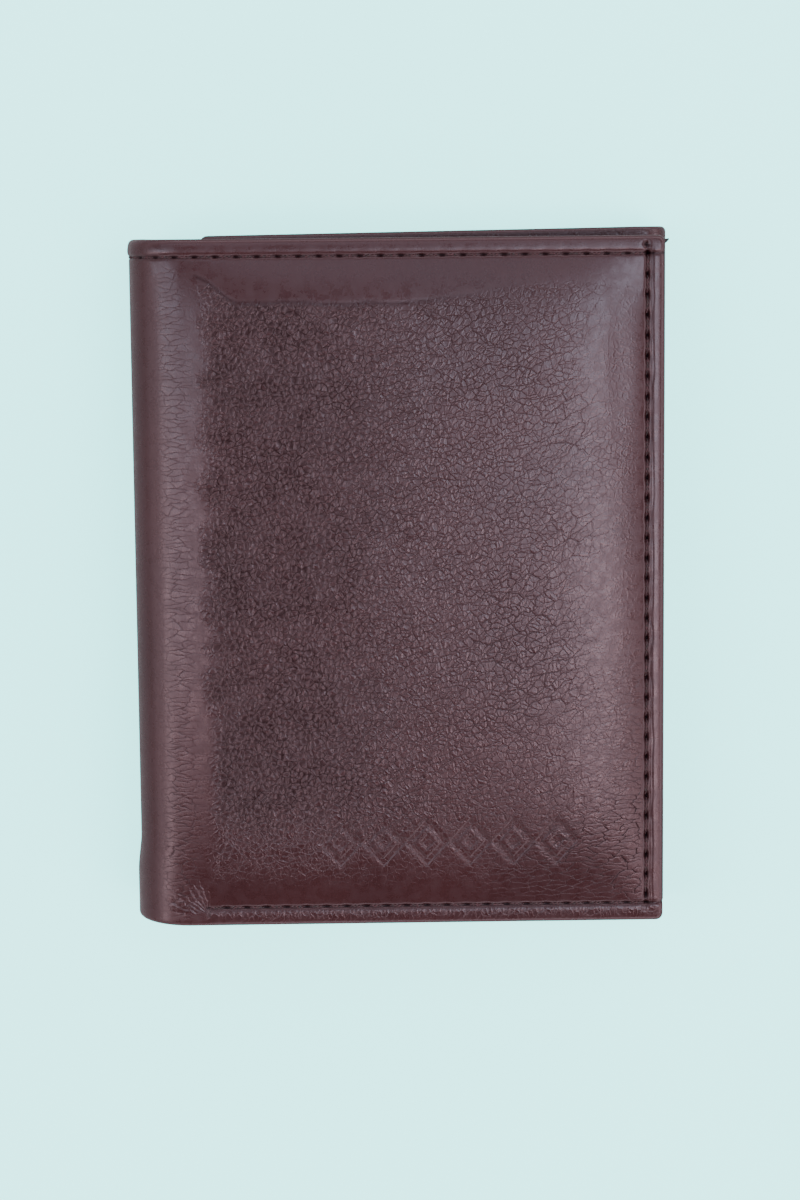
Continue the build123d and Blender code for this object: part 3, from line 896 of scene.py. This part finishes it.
def pinched(u, v):
    """1 on the crease along the pad's top border, strongest towards the left; the crease is also painted
    with shade.
    """
    strong = smooth((u / MM - 22) / 26) * smooth((PAD_EDGE_MM + 0.5 - u / MM) / 1.5)
    return bell(pad_border(u, v) / 0.32) * strong


def cover_grain(u, v, distance):
    across = u / MM
    left = bell((PAD_EDGE_MM - 14 - across) / 20)
    strength = 0.58 + 0.5 * left - 0.5 * smooth((32 - across) / 22)
    strength = strength + 0.3 * (lattice(u / (9 * MM), v / (11 * MM)) - 0.5)
    return np.clip(strength, 0, 1.2) * cover_inside(u, v) + 0.05


def cover_fine(u, v, distance):
    across = u / MM
    left = bell((PAD_EDGE_MM - 11 - across) / 20)
    low = bell(((v - BOTTOM) / MM - 1.7) / 0.9) * smooth((BOTTOM_SEAM_END - u) / MM)
    return np.clip(1.15 * left + 0.10, 0, 1.1) * cover_inside(u, v) + 0.45 * low


def cover_drag(u, v, distance):
    """Long creases that run down to the right, most of them in the lower right half."""
    right = smooth((PAD_EDGE - 8 * MM - u) / (40 * MM))
    patches = smooth((lattice(u / (12 * MM) + 40, v / (9 * MM)) - 0.25) / 0.4)
    near_seam = 0.15 + 0.85 * smooth((u / MM - 8) / 14)
    return (0.34 + 0.3 * right) * (0.5 + 0.5 * patches) * near_seam * cover_inside(u, v)


def cover_fold(u, v, distance):
    """Folds across the right seam and the low right corner, and across the strip at the bend."""
    d_top = (TOP - v) / MM
    d_bottom = (v - BOTTOM) / MM
    across = u / MM
    away = smooth((across - 3.3) / 1.0) * smooth((d_bottom - 3.2) / 1.5) * smooth((d_top - 6) / 5)
    side = 0.95 * np.exp(-np.maximum(across - 3.3, 0) / 6) * (0.15 + 0.85 * smooth((60 - d_bottom) / 50))
    low = bell((d_bottom - 13) / 7) * 0.9 * smooth((46 - across) / 30)
    strip = bell((across - PAD_EDGE_MM - 3.5) / 3.0)
    strip = strip * (0.35 + 0.35 * smooth((45 - d_bottom) / 35))
    return np.clip(side + low, 0, 1) * away + strip * smooth(d_bottom / 3) * smooth((d_top - 3) / 3)


def cover_pinch(u, v, distance):
    """1 around the start of the bottom seam, where the leather is pinched into a fan."""
    return (np.hypot(u - BOTTOM_SEAM_END, v - BOTTOM) < 12 * MM).astype(float)


def edge_wear(u, v, distance):
    return 0.55 * smooth((1.6 * MM - distance) / (1.2 * MM))


# painted shade on the cover: in its seams, in the uneven crease beside the side seam, in the torn hole at
# the top right corner and in the crease along the pad's top border
def cover_painted_shade(u, v, distance):
    side = seam_painted_shade(u, SEAM_SIDE, TOP_LINE - v, bold=1.0)
    side = side + 0.45 * bell(lip_crease(u, v)) * lattice(u / (9 * MM), v / (5 * MM) + 70)
    top = seam_painted_shade(TOP - v, SEAM_TOP, u - SEAM_SIDE)
    bottom_on = smooth((BOTTOM_SEAM_END - u) / MM)
    bottom = seam_painted_shade(v - BOTTOM, SEAM_BOTTOM, u - SEAM_SIDE) * bottom_on
    keyhole = bell(from_keyhole(u, v) / (0.5 * MM))
    return np.clip(side * side_seam_on(v) + top + bottom + keyhole + 0.4 * pinched(u, v), 0, 1)


SEAM_ENDS = 2 * MM


def shell_seams(u, v, part):
    """The seams of the spines, the back and the inner flap, for a seam part or a part that paints the
    seams' shade.
    """
    before_end = smooth((end_of("back") - SEAM_ENDS - u) / MM)
    on_flap = smooth((u - start_of("inner_flap") - SEAM_ENDS) / MM)
    top_on = before_end + on_flap
    low_on = smooth((u - start_of("back") - SEAM_ENDS) / MM) * before_end + on_flap
    past_column = smooth((FLAP_TIP - SEAM_SIDE + 0.5 * MM - u) / (0.5 * MM))
    top = part(TOP - v, SEAM_TOP, u - SEAM_SIDE) * top_on * past_column
    low = part(v - BOTTOM, SEAM_BOTTOM, u - SEAM_SIDE) * low_on * past_column
    tip_on = smooth((TOP - v - 2 * MM) / (0.8 * MM)) * smooth((v - BOTTOM - 2 * MM) / (0.8 * MM))
    tip = part(FLAP_TIP - u, SEAM_SIDE, TOP_LINE - v) * tip_on
    return top + low + tip


def flat_seam(distance, line, along):
    return seam(distance, line, along, lip=0.0)


def shell_height(u, v, distance):
    lip = 0.14 * MM * (1 - smooth((u - MID_SPINE) / (4 * MM)))
    raised = lip * np.sin(math.pi * np.clip((TOP - v) / SEAM_TOP, 0, 1))
    return shell_seams(u, v, flat_seam) + raised + spine_flare(u, v)


def shell_under(u, v, distance):
    return spine_flare(u, v) - turned_edge(distance)


# painted shade in the seams of the spines, the back and the inner flap
def shell_painted_shade(u, v, distance):
    return np.clip(shell_seams(u, v, seam_painted_shade), 0, 1)


def shell_grain(u, v, distance):
    edge = np.minimum(TOP - v, v - BOTTOM) / MM
    strength = 0.5 + 0.4 * (lattice(u / (14 * MM), v / (17 * MM)) - 0.5)
    on_flats = 1 - smooth((edge - 3) / 3)
    return strength * (1 - 0.7 * on_flats)


def shell_fine(u, v, distance):
    return 0.35 * shell_grain(u, v, distance)


def shell_drag(u, v, distance):
    return 0.5 * smooth((lattice(u / (23 * MM), v / (19 * MM)) - 0.4) / 0.4)


def shell_fold(u, v, distance):
    """Short folds across each bend."""
    bends = 0.0
    for leg in ("low_bend", "right_bend", "inner_bend"):
        middle = (start_of(leg) + end_of(leg)) / 2
        bends = bends + bell((u - middle) / (4 * MM))
    return 0.4 * bends


COVER_PAINT = {
    "grain": cover_grain, "fine": cover_fine, "drag": cover_drag, "fold": cover_fold,
    "wear": edge_wear, "painted_shade": cover_painted_shade, "pinch": cover_pinch,
}
SHELL_PAINT = {
    "grain": shell_grain, "fine": shell_fine, "drag": shell_drag, "fold": shell_fold,
    "wear": edge_wear, "painted_shade": shell_painted_shade,
}

# ---- leather shell ----------------------------------------------------------------------

COVER_PITCH = 0.4 * MM
SHELL_PITCH = 0.62 * MM
SEAM_ROWS = (0.7 * MM, 0.2 * MM)  # reach and pitch of the fine rows beside a seam
LIP_ROWS = (0.3 * MM, 0.15 * MM)
FAN_ROWS = (3.5 * MM, 0.2 * MM)


def bend_ends(leg):
    """The two ends of a bend's middle line, for blending across it."""
    ends = place(np.array([start_of(leg), end_of(leg)]), (BOTTOM + TOP) / 2, 0.0)
    return Vector(ends[0]), Vector(ends[1])


top_start, top_end = bend_ends("top_bend")
low_start, low_end = bend_ends("low_bend")
right_start, right_end = bend_ends("right_bend")
inner_start, inner_end = bend_ends("inner_bend")

# each section of the strip: bodies, where its bend starts and ends, and its stretch of run
SECTIONS = {
    "cover": (("left_spine", "front_flap"), (top_end, top_start), (0.0, MID_SPINE)),
    "left": (("centre_panel", "left_spine"), (low_end, low_start), (MID_SPINE, MID_BACK)),
    "right": (("centre_panel", "right_spine"), (right_start, right_end), (MID_BACK, MID_RIGHT)),
    "inner": (("right_spine", "inner_flap"), (inner_start, inner_end), (MID_RIGHT, FLAP_TIP)),
}


def follow(piece, section):
    """Bakes a piece's placement into its mesh; its section's bodies and bend ends are read but not used.
    """
    bodies, ends, _ = SECTIONS[section]
    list(bodies)
    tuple(ends[0])
    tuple(ends[1])
    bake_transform(piece)


def section_ends(section, radius):
    """Where a section starts and ends, and the radii of these ends: 0 where the strip goes on."""
    low, high = SECTIONS[section][2]
    return low, high, radius if section == "cover" else 0.0, radius if section == "inner" else 0.0


FINE_RUNS = {
    "cover": (
        (SEAM_SIDE, *SEAM_ROWS), (SEAM_SIDE - MM, *LIP_ROWS), (BOTTOM_SEAM_END + 2.5 * MM, *FAN_ROWS),
    ),
    "inner": ((FLAP_TIP - SEAM_SIDE, *SEAM_ROWS),),
}


def leather_section(name, section, pitch, height, under, paint, *nodes):
    """One section of the shell: a grained piece that stands for these CAD nodes."""
    low, high, edge_low, edge_high = section_ends(section, EDGE_RADIUS)
    u_rows = rows(low, high, pitch, edge_low, edge_high, fine=FINE_RUNS.get(section, ()))
    fine = ((LOW_LINE, *SEAM_ROWS), (TOP_LINE, *SEAM_ROWS))
    v_rows = rows(BOTTOM, TOP, pitch, EDGE_RADIUS, EDGE_RADIUS, fine=fine)
    radii = (edge_low, edge_high, EDGE_RADIUS, EDGE_RADIUS)
    piece = slab(name, u_rows, v_rows, radii, height, under, paint=paint)
    press_grain(piece)
    dress(piece, OUTER, "outer_leather", *nodes)
    follow(piece, section)


COVER_LOOK = (COVER_PITCH, cover_height, cover_under, COVER_PAINT)
SHELL_LOOK = (SHELL_PITCH, shell_height, shell_under, SHELL_PAINT)
for name, section, look, nodes in (
    ("cover_leather", "cover", COVER_LOOK, ("front_leather",)),
    ("left_back_leather", "left", SHELL_LOOK, ("left_spine_leather",)),
    ("right_back_leather", "right", SHELL_LOOK, ("back_leather",)),
    ("flap_leather", "inner", SHELL_LOOK, ("right_spine_leather", "inner_flap_leather")),
):
    leather_section(name, section, *look, *nodes)

# ---- lining, bill compartment and padding -----------------------------------------------

LINING_TOP = -(2 * EDGE_RADIUS + LAYER_GAP)
LINING_THICK = 0.25 * MM
WALL_THICK = 0.56 * MM
WALL_RIM = LINING_TOP - LINING_THICK - LAYER_GAP
FRONT_WALL = -3.0 * MM
PANEL_WALL = -2.5 * MM
LINING_INSET = 1.3 * MM
WALL_INSET = 0.8 * MM
LINING_PITCH = 1.6 * MM
WALL_PITCH = 0.9 * MM
FINE_PITCH = 0.25 * MM


RIM_WIDTH = 3.3 * MM
RIM_SLOPE = 3.2 * MM


def inside_rims(u, v):
    """0 in the sewn rims, at the bottom and the strip's two ends, and 1 clear of them."""
    low, near, far = (smooth((d - RIM_WIDTH) / RIM_SLOPE) for d in (v - BOTTOM, u, FLAP_TIP - u))
    return low * near * far


def on_front(u):
    return smooth((start_of("top_bend") - 0.5 * MM - u) / (10 * MM))


def lining_level(u, v, distance=0):
    return LINING_TOP - 0.46 * MM * inside_rims(u, v) * on_front(u)


def lining_under(u, v, distance):
    return lining_level(u, v) - LINING_THICK


def wall_level(u, v, distance=0):
    on_spine = smooth((u - start_of("top_bend") + 6 * MM) / (8 * MM))
    on_spine = on_spine * smooth((start_of("back") + 4 * MM - u) / (8 * MM))
    clear = FRONT_WALL + (PANEL_WALL - FRONT_WALL) * (1 - on_front(u))
    clear = clear + (WALL_RIM - clear) * on_spine
    return WALL_RIM + (clear - WALL_RIM) * inside_rims(u, v)


def wall_under(u, v, distance):
    return wall_level(u, v) - WALL_THICK


def plain_grain(u, v, distance):
    return 0.35 + 0.3 * lattice(u / (11 * MM), v / (13 * MM))


def plain_fine(u, v, distance):
    return np.full(np.shape(u), 0.2)


def rim_painted_shade(u, v, distance):
    """Painted shade in the seams seen from the inside, along the bottom and the strip's two ends."""
    low = seam_painted_shade(v - BOTTOM, SEAM_BOTTOM, u - SEAM_SIDE)
    near, far = (seam_painted_shade(d, SEAM_SIDE, TOP_LINE - v) for d in (u, FLAP_TIP - u))
    return np.clip(low + (near + far), 0, 1)


INNER_PAINT = {"grain": plain_grain, "fine": plain_fine, "wear": edge_wear, "painted_shade": rim_painted_shade}


def layer(name, section, inset, thick, pitch, level, under, paint=None, to_space=place, fine=0.0):
    """One layer of a section, cut short of the leather's edges."""
    low, high, edge_low, edge_high = section_ends(section, thick / 2)
    low = low + inset if edge_low else low
    high = high - inset if edge_high else high
    near_low, near_top = (((edge, fine, FINE_PITCH),) if fine else () for edge in (low, TOP - inset))
    u_rows = rows(low, high, pitch, edge_low, edge_high, fine=near_low)
    v_rows = rows(BOTTOM + inset, TOP - inset, pitch, thick / 2, thick / 2, fine=near_top)
    radii = (edge_low, edge_high, thick / 2, thick / 2)
    return slab(
        name, u_rows, v_rows, radii, level, under, to_space=to_space, paint=paint, corner=thick, coarse=1
    )


def with_loose_corner(u, v, height):
    """The lining's corner at the cover's free top corner has worked its way out of the seam."""
    away = np.hypot(u - LINING_INSET, TOP - LINING_INSET - v)
    pulled = bell(away / (1.0 * MM))
    return place(u - 2.2 * MM * pulled, v + 0.75 * MM * pulled, height + 0.1 * MM * pulled)


for section, nodes in (
    ("cover", ("front_lining",)),
    ("left", ("left_spine_lining",)),
    ("right", ("back_lining", "right_spine_lining")),
    ("inner", ("inner_flap_lining",)),
):
    loose = section == "cover"
    sheet = layer(
        f"{section}_lining", section, LINING_INSET, LINING_THICK, LINING_PITCH, lining_level, lining_under,
        to_space=with_loose_corner if loose else place, fine=3 * MM if loose else 0.0,
    )
    dress(sheet, LINING, "lining_cloth", *nodes)
    follow(sheet, section)
    low, high = SECTIONS[section][2]
    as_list(nodes[0])

for section, node in (
    ("cover", "front_bill_wall"),
    ("left", "left_spine_bill_wall"),
    ("right", "centre_bill_wall"),
    ("inner", "inner_bill_wall"),
):
    wall = layer(
        f"{section}_compartment_wall", section, WALL_INSET, WALL_THICK, WALL_PITCH, wall_level, wall_under,
        INNER_PAINT,
    )
    dress(wall, INNER, "inner_leather", node)
    follow(wall, section)


def foam_level(u, v, distance):
    return cover_swell(u, v) - turned_edge(np.minimum(u, 4 * MM)) - LAYER_GAP


def foam_under(u, v, distance):
    return lining_level(u, v) + LAYER_GAP


FOAM_MARGIN = 4.4 * MM
FOAM_RADIUS = 0.14 * MM
foam_rows = (LINING_PITCH, FOAM_RADIUS, FOAM_RADIUS)
foam = slab(
    "cover_foam",
    rows(FOAM_MARGIN, PAD_EDGE - 0.4 * MM, *foam_rows),
    rows(BOTTOM + FOAM_MARGIN, TOP - FOAM_MARGIN, *foam_rows),
    (FOAM_RADIUS,) * 4, foam_level, foam_under, corner=0.5 * MM, coarse=1,
)
dress(foam, FOAM, "foam", "front_padding")
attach(foam, "front_flap")

for node in ("back_stiffener", "inner_flap_stiffener"):
    board = frame["nodes"][node]
    board.data.materials.clear()
    board.data.materials.append(BOARD)

# ---- pockets and sleeve -----------------------------------------------------------------

HEM = 2.2 * MM
HEM_LINE = HEM - 0.6 * MM
PLATE_LINE = 1.6 * MM
PLATE_PITCH = 0.8 * MM
PLATE_CORNER = 1.5 * MM
POCKET_RADIUS = 0.17 * MM


def pocket_height(top):
    """A pocket's face: a turned hem along its top edge, and a sewn line under it."""
    def height(u, v, distance):
        hem = -0.1 * MM * smooth((top - v - HEM) / (0.5 * MM))
        line = -0.07 * MM * bell((top - v - HEM + 0.6 * MM) / (0.3 * MM))
        return hem + line - 0.05 * MM * bell((distance - PLATE_LINE) / (0.3 * MM))
    return height


def pocket_paint(top):
    # painted shade in the hem's sewn line and in the groove round the plate
    def painted_shade(u, v, distance):
        top_line = seam_painted_shade(top - v, HEM_LINE, u)
        return 0.7 * np.clip(top_line + 0.3 * bell((distance - PLATE_LINE) / (0.25 * MM)), 0, 1)
    return {"grain": plain_grain, "fine": plain_fine, "wear": edge_wear, "painted_shade": painted_shade}


def plate(name, u_ends, v_ends, thick, radius, height, paint, to_space, fine=()):
    """A thin plate with rounded corners, between two places along and two across."""
    def under(u, v, distance):
        return np.full(np.shape(u), LAYER_GAP - thick)

    return slab(
        name,
        rows(*u_ends, PLATE_PITCH, radius, radius),
        rows(*v_ends, PLATE_PITCH, radius, radius, fine=fine),
        (radius,) * 4, height, under, to_space=to_space,
        corner=PLATE_CORNER, paint=paint, coarse=2,
    )


def pocket(node, body, outward):
    """A card pocket in place of a CAD plate that lies level, facing up (1) or down (-1)."""
    low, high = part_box(node)
    face = high.z if outward > 0 else low.z

    def to_space(u, v, height):
        return np.stack([u, v, face + outward * height], axis=-1)

    piece = plate(
        f"{node}_leather", (low.x, high.x), (low.y, high.y), high.z - low.z, POCKET_RADIUS,
        pocket_height(high.y), pocket_paint(high.y), to_space,
        fine=((high.y - HEM, PLATE_PITCH, FINE_PITCH),),
    )
    dress(piece, INNER, "inner_leather", node)
    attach(piece, body)


for number in (1, 2, 3):
    pocket(f"centre_card_pocket_{number}", "centre_panel", 1)
    pocket(f"inner_card_pocket_{number}", "inner_flap", -1)


def film_height(u, v, distance):
    return -0.03 * MM * bell((distance - 1.2 * MM) / (0.3 * MM))


def front_plate(name, node, depth, thick, material, slot):
    """A plate on the front flap's inner side, given by its CAD node's box."""
    low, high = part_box(node)
    shift = depth * math.sin(SLOPE)
    run_low = (front_high.x - high.x - shift) / math.cos(SLOPE)
    run_high = run_low + (high.x - low.x - thick * math.sin(SLOPE)) / math.cos(SLOPE)

    def to_space(u, v, level):
        side = BOTTOM + (v - BOTTOM) * (TOP - BOTTOM) / (COVER_TOP - BOTTOM)
        return place(u, side, -depth - thick - level)

    height = film_height if material is FILM else pocket_height(high.y)
    paint = None if material is FILM else pocket_paint(high.y)
    piece = plate(
        name, (run_low, run_high), (low.y, high.y), thick, 0.42 * thick, height, paint, to_space
    )
    dress(piece, material, slot, node)
    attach(piece, "front_flap")


for name, node, depth, thick, material, slot in (
    ("front_pocket_leather", "front_card_pocket", 3.6 * MM, 0.4 * MM, INNER, "inner_leather"),
    ("front_id_film", "front_id_sleeve", 4.0 * MM, 0.25 * MM, FILM, "clear_film"),
    ("front_id_trim_leather", "front_id_sleeve_trim", 4.0 * MM, 0.3 * MM, INNER, "inner_leather"),
):
    front_plate(name, node, depth, thick, material, slot)

# ---- stitches ---------------------------------------------------------------------------

STRAND = 0.13 * MM
PLY_RADIUS = 0.10 * MM
STITCH_STEPS = 18
STRAND_SIDES = 6
TWISTS = 2.2
STITCH_SLANT = 0.14 * MM
STITCH_SPREAD = 0.05 * MM
STITCH_RISE = 0.1 * MM
STITCH_SINK = 0.5 * MM
GROOVE_SEAT = 0.26 * MM


def stitch_tubes(paths):
    """Two twisted plies along each path; a path is a centre line with its across and up."""
    points = []
    faces = []
    around = np.linspace(0, 2 * math.pi, STRAND_SIDES, endpoint=False)
    ring_across, ring_up = (wave(around)[None, :, None] for wave in (np.cos, np.sin))
    turn = np.linspace(0, 2 * math.pi * TWISTS, STITCH_STEPS)
    tapered = np.sin(np.linspace(0.06, 0.94, STITCH_STEPS) * math.pi) ** 0.3
    radius = STRAND * tapered[:, None, None]
    for centre, across, up in paths:
        for ply in (0.0, math.pi):
            a, b = (wave(turn + ply)[:, None] for wave in (np.cos, np.sin))
            core = centre + PLY_RADIUS * (a * across + b * up)
            ring = ring_across * across[:, None, :] + ring_up * up[:, None, :]
            tube = core[:, None, :] + radius * ring
            base = len(points)
            points.extend(tube.reshape(-1, 3).tolist())
            last = base + (STITCH_STEPS - 1) * STRAND_SIDES
            for row in range(base, last, STRAND_SIDES):
                for j in range(STRAND_SIDES):
                    k = (j + 1) % STRAND_SIDES
                    faces.append([row + j, row + k, row + STRAND_SIDES + k, row + STRAND_SIDES + j])
            faces.append([base + j for j in range(STRAND_SIDES)][::-1])
            faces.append([last + j for j in range(STRAND_SIDES)])
    return points, faces


def seam_path(place_of, height, first, last, facing):
    """Stitches from hole to hole: place_of gives the run and side from the length along."""
    paths = []
    t = np.linspace(0.08, 0.92, STITCH_STEPS)
    arch = np.sin(math.pi * t) ** 0.8
    for index in range(int((last - first) / STITCH_PITCH + 1e-6)):
        slant = STITCH_SLANT * (t - 0.5) + STITCH_SPREAD * (table[index % TABLE_SIZE, 3] - 0.5)
        run, side = place_of(first + (index + t) * STITCH_PITCH, slant)
        level = height(run, side) + facing * (STITCH_RISE - STITCH_SINK * (1 - arch))
        centre = place(run, side, level)
        ahead = np.gradient(centre, axis=0)
        ahead /= np.linalg.norm(ahead, axis=1)[:, None]
        above = place(run, side, level + facing * MM) - centre
        across = np.cross(ahead, above)
        across /= np.linalg.norm(across, axis=1)[:, None]
        paths.append((centre, across, np.cross(across, ahead)))
    return paths


def row_at(side, height, first, last, facing=1):
    """Stitches along the run at one place across it."""
    return seam_path(lambda along, slant: (along, side + slant), height, first, last, facing)


def column_at(run, height, facing=1):
    """Stitches across the run, from the top seam down to the bottom seam."""
    def place_of(along, slant):
        return run + slant, TOP_LINE - along

    return seam_path(place_of, height, 0, TOP_LINE - LOW_LINE, facing)


def cover_seat(run, side):
    """Bottom of the seam groove on the cover, without the dips at the holes."""
    return cover_swell(run, side) - GROOVE_SEAT


def shell_seat(run, side):
    return np.full(np.shape(run), -GROOVE_SEAT)


def wall_seat(run, side):
    return wall_under(run, side, 0) - 0.02 * MM


def thread(name, section, node, paths):
    points, faces = stitch_tubes(paths)
    mesh = bpy.data.meshes.new(name)
    mesh.from_pydata(points, [], faces)
    mesh.polygons.foreach_set("use_smooth", np.ones(len(mesh.polygons), bool))
    piece = linked(name, mesh)
    dress(piece, THREAD, "thread", node)
    follow(piece, section)


def from_hole(run, up=True):
    """The nearest needle hole at or past this run."""
    count = (run - SEAM_SIDE) / STITCH_PITCH
    count = math.ceil(count) if up else math.floor(count)
    return SEAM_SIDE + count * STITCH_PITCH


last_on_cover = from_hole(MID_SPINE, up=False)
back_first = from_hole(start_of("back") + SEAM_ENDS)
back_middle = from_hole(MID_BACK)
back_last = from_hole(end_of("back") - SEAM_ENDS, up=False)
flap_first = from_hole(start_of("inner_flap") + SEAM_ENDS)
flap_last = FLAP_TIP - SEAM_SIDE


def rows_of(seat, top, low):
    """The rows of the top seam and of the bottom seam, seen outside and inside."""
    return (
        row_at(TOP_LINE, seat, *top) + row_at(LOW_LINE, seat, *low)
        + row_at(LOW_LINE, wall_seat, *low, facing=-1)
    )


def columns_of(seat, run):
    """An end seam, seen outside and inside."""
    return column_at(run, seat) + column_at(run, wall_seat, facing=-1)


left_half = (back_first, back_middle)
right_half = (back_middle, back_last)
flap_run = (flap_first, flap_last)
thread(
    "cover_stitches", "cover", "front_stitching",
    rows_of(cover_seat, (SEAM_SIDE, last_on_cover), (SEAM_SIDE, BOTTOM_SEAM_END))
    + columns_of(cover_seat, SEAM_SIDE),
)
thread(
    "left_back_stitches", "left", "left_spine_stitching",
    rows_of(shell_seat, (last_on_cover, back_middle), left_half),
)
thread("right_back_stitches", "right", "back_stitching", rows_of(shell_seat, right_half, right_half))
thread(
    "flap_stitches", "inner", "inner_flap_stitching",
    rows_of(shell_seat, flap_run, flap_run) + columns_of(shell_seat, flap_last),
)

# ---- floor, light and camera ------------------------------------------------------------

LAMP_HEIGHT = 0.75
FLOOR_LEVEL = -0.1 * MM
FLOOR_LIGHTING = (0.42, 0.40, 0.41, 1)  # the colour that lights the wallet
FLOOR_SEEN = (0.42, 0.88, 0.86, 1)  # the colour and the glow that only the camera sees
FLOOR_GLOW = (0.285, 1.0, 0.975, 1)
FLOOR_GLOW_STRENGTH = 2.35
RING_STRENGTH = 3.2
DOME_STRENGTH = 0.10
WARM = (1.12, 0.97, 0.94)
COOL = (0.75, 1.0, 1.08)
LENS_MM = 82.95
CAMERA_AT = (0.0286, 0.0592, 0.4784)
CAMERA_TURN_DEG = (-7.70, 3.45, -0.53)


def floor():
    bpy.ops.mesh.primitive_plane_add(size=4, location=(0, 0, FLOOR_LEVEL))
    plane = bpy.context.object
    plane.name = "floor"
    material, graph, surface = shader("floor")
    seen = graph.node("ShaderNodeLightPath").outputs["Is Camera Ray"]
    graph.feed(surface, {
        "Base Color": graph.mix(seen, FLOOR_LIGHTING, FLOOR_SEEN),
        "Emission Color": FLOOR_GLOW,
        "Emission Strength": graph.times(seen, FLOOR_GLOW_STRENGTH),
        "Roughness": 0.9,
        "Specular IOR Level": 0.1,
    })
    plane.data.materials.append(material)


def softbox(name, across, along, radiance, colour):
    """A box lamp seen from the wallet between two angles across and two along, in degrees."""
    left, right, low, high = (
        LAMP_HEIGHT * math.tan(math.radians(angle)) for angle in (*across, *along)
    )
    light = bpy.data.lights.new(name, "AREA")
    light.shape = "RECTANGLE"
    light.size, light.size_y = right - left, high - low
    light.energy = math.pi * light.size * light.size_y * radiance
    light.color = colour
    linked(name, light).location = ((left + right) / 2, (low + high) / 2, LAMP_HEIGHT)


def studio():
    world = bpy.data.worlds.new("studio")
    world.use_nodes = True
    graph = Graph(world.node_tree)
    background = world.node_tree.nodes["Background"]
    towards = graph.node("ShaderNodeTexCoord").outputs["Generated"]
    parts = graph.node("ShaderNodeSeparateXYZ", {0: towards})
    rise = parts.outputs[2]
    ring = graph.times(graph.ramp(rise, -0.1, 0.25), graph.ramp(rise, 0.3, 0.62, 1.0, 0.0))
    ring = graph.times(ring, graph.ramp(parts.outputs[0], -0.9, 0.3, 0.35, 1.0))
    strength = graph.math("MULTIPLY_ADD", ring, RING_STRENGTH, DOME_STRENGTH)
    graph.feed(background, {"Color": (0.97, 0.98, 1.0, 1), "Strength": strength})
    bpy.context.scene.world = world
    softbox("left_box_low", (-62, -13), (-13, -6), 7.0, WARM)
    softbox("left_box_high", (-62, -13), (-6, 15), 3.5, COOL)
    softbox("right_box_low", (13, 36), (-17, -6), 9.0, WARM)
    softbox("right_box_high", (13, 36), (-6, 24), 5.8, COOL)
    softbox("right_fill", (4, 13), (-12, 8), 3.8, COOL)
    softbox("top_fill", (-45, 25), (25, 46), 1.5, COOL)
    softbox("low_left_fill", (-64, -50), (-42, -14), 4.6, WARM)
    softbox("low_right_fill", (36, 55), (-44, -18), 3.5, WARM)


def camera():
    data = bpy.data.cameras.new("camera")
    data.lens = LENS_MM
    data.sensor_width = 36.0
    data.clip_start = 0.01
    shot = linked("camera", data)
    shot.location = CAMERA_AT
    shot.rotation_euler = [math.radians(angle) for angle in CAMERA_TURN_DEG]
    bpy.context.scene.camera = shot


floor()
studio()
camera()
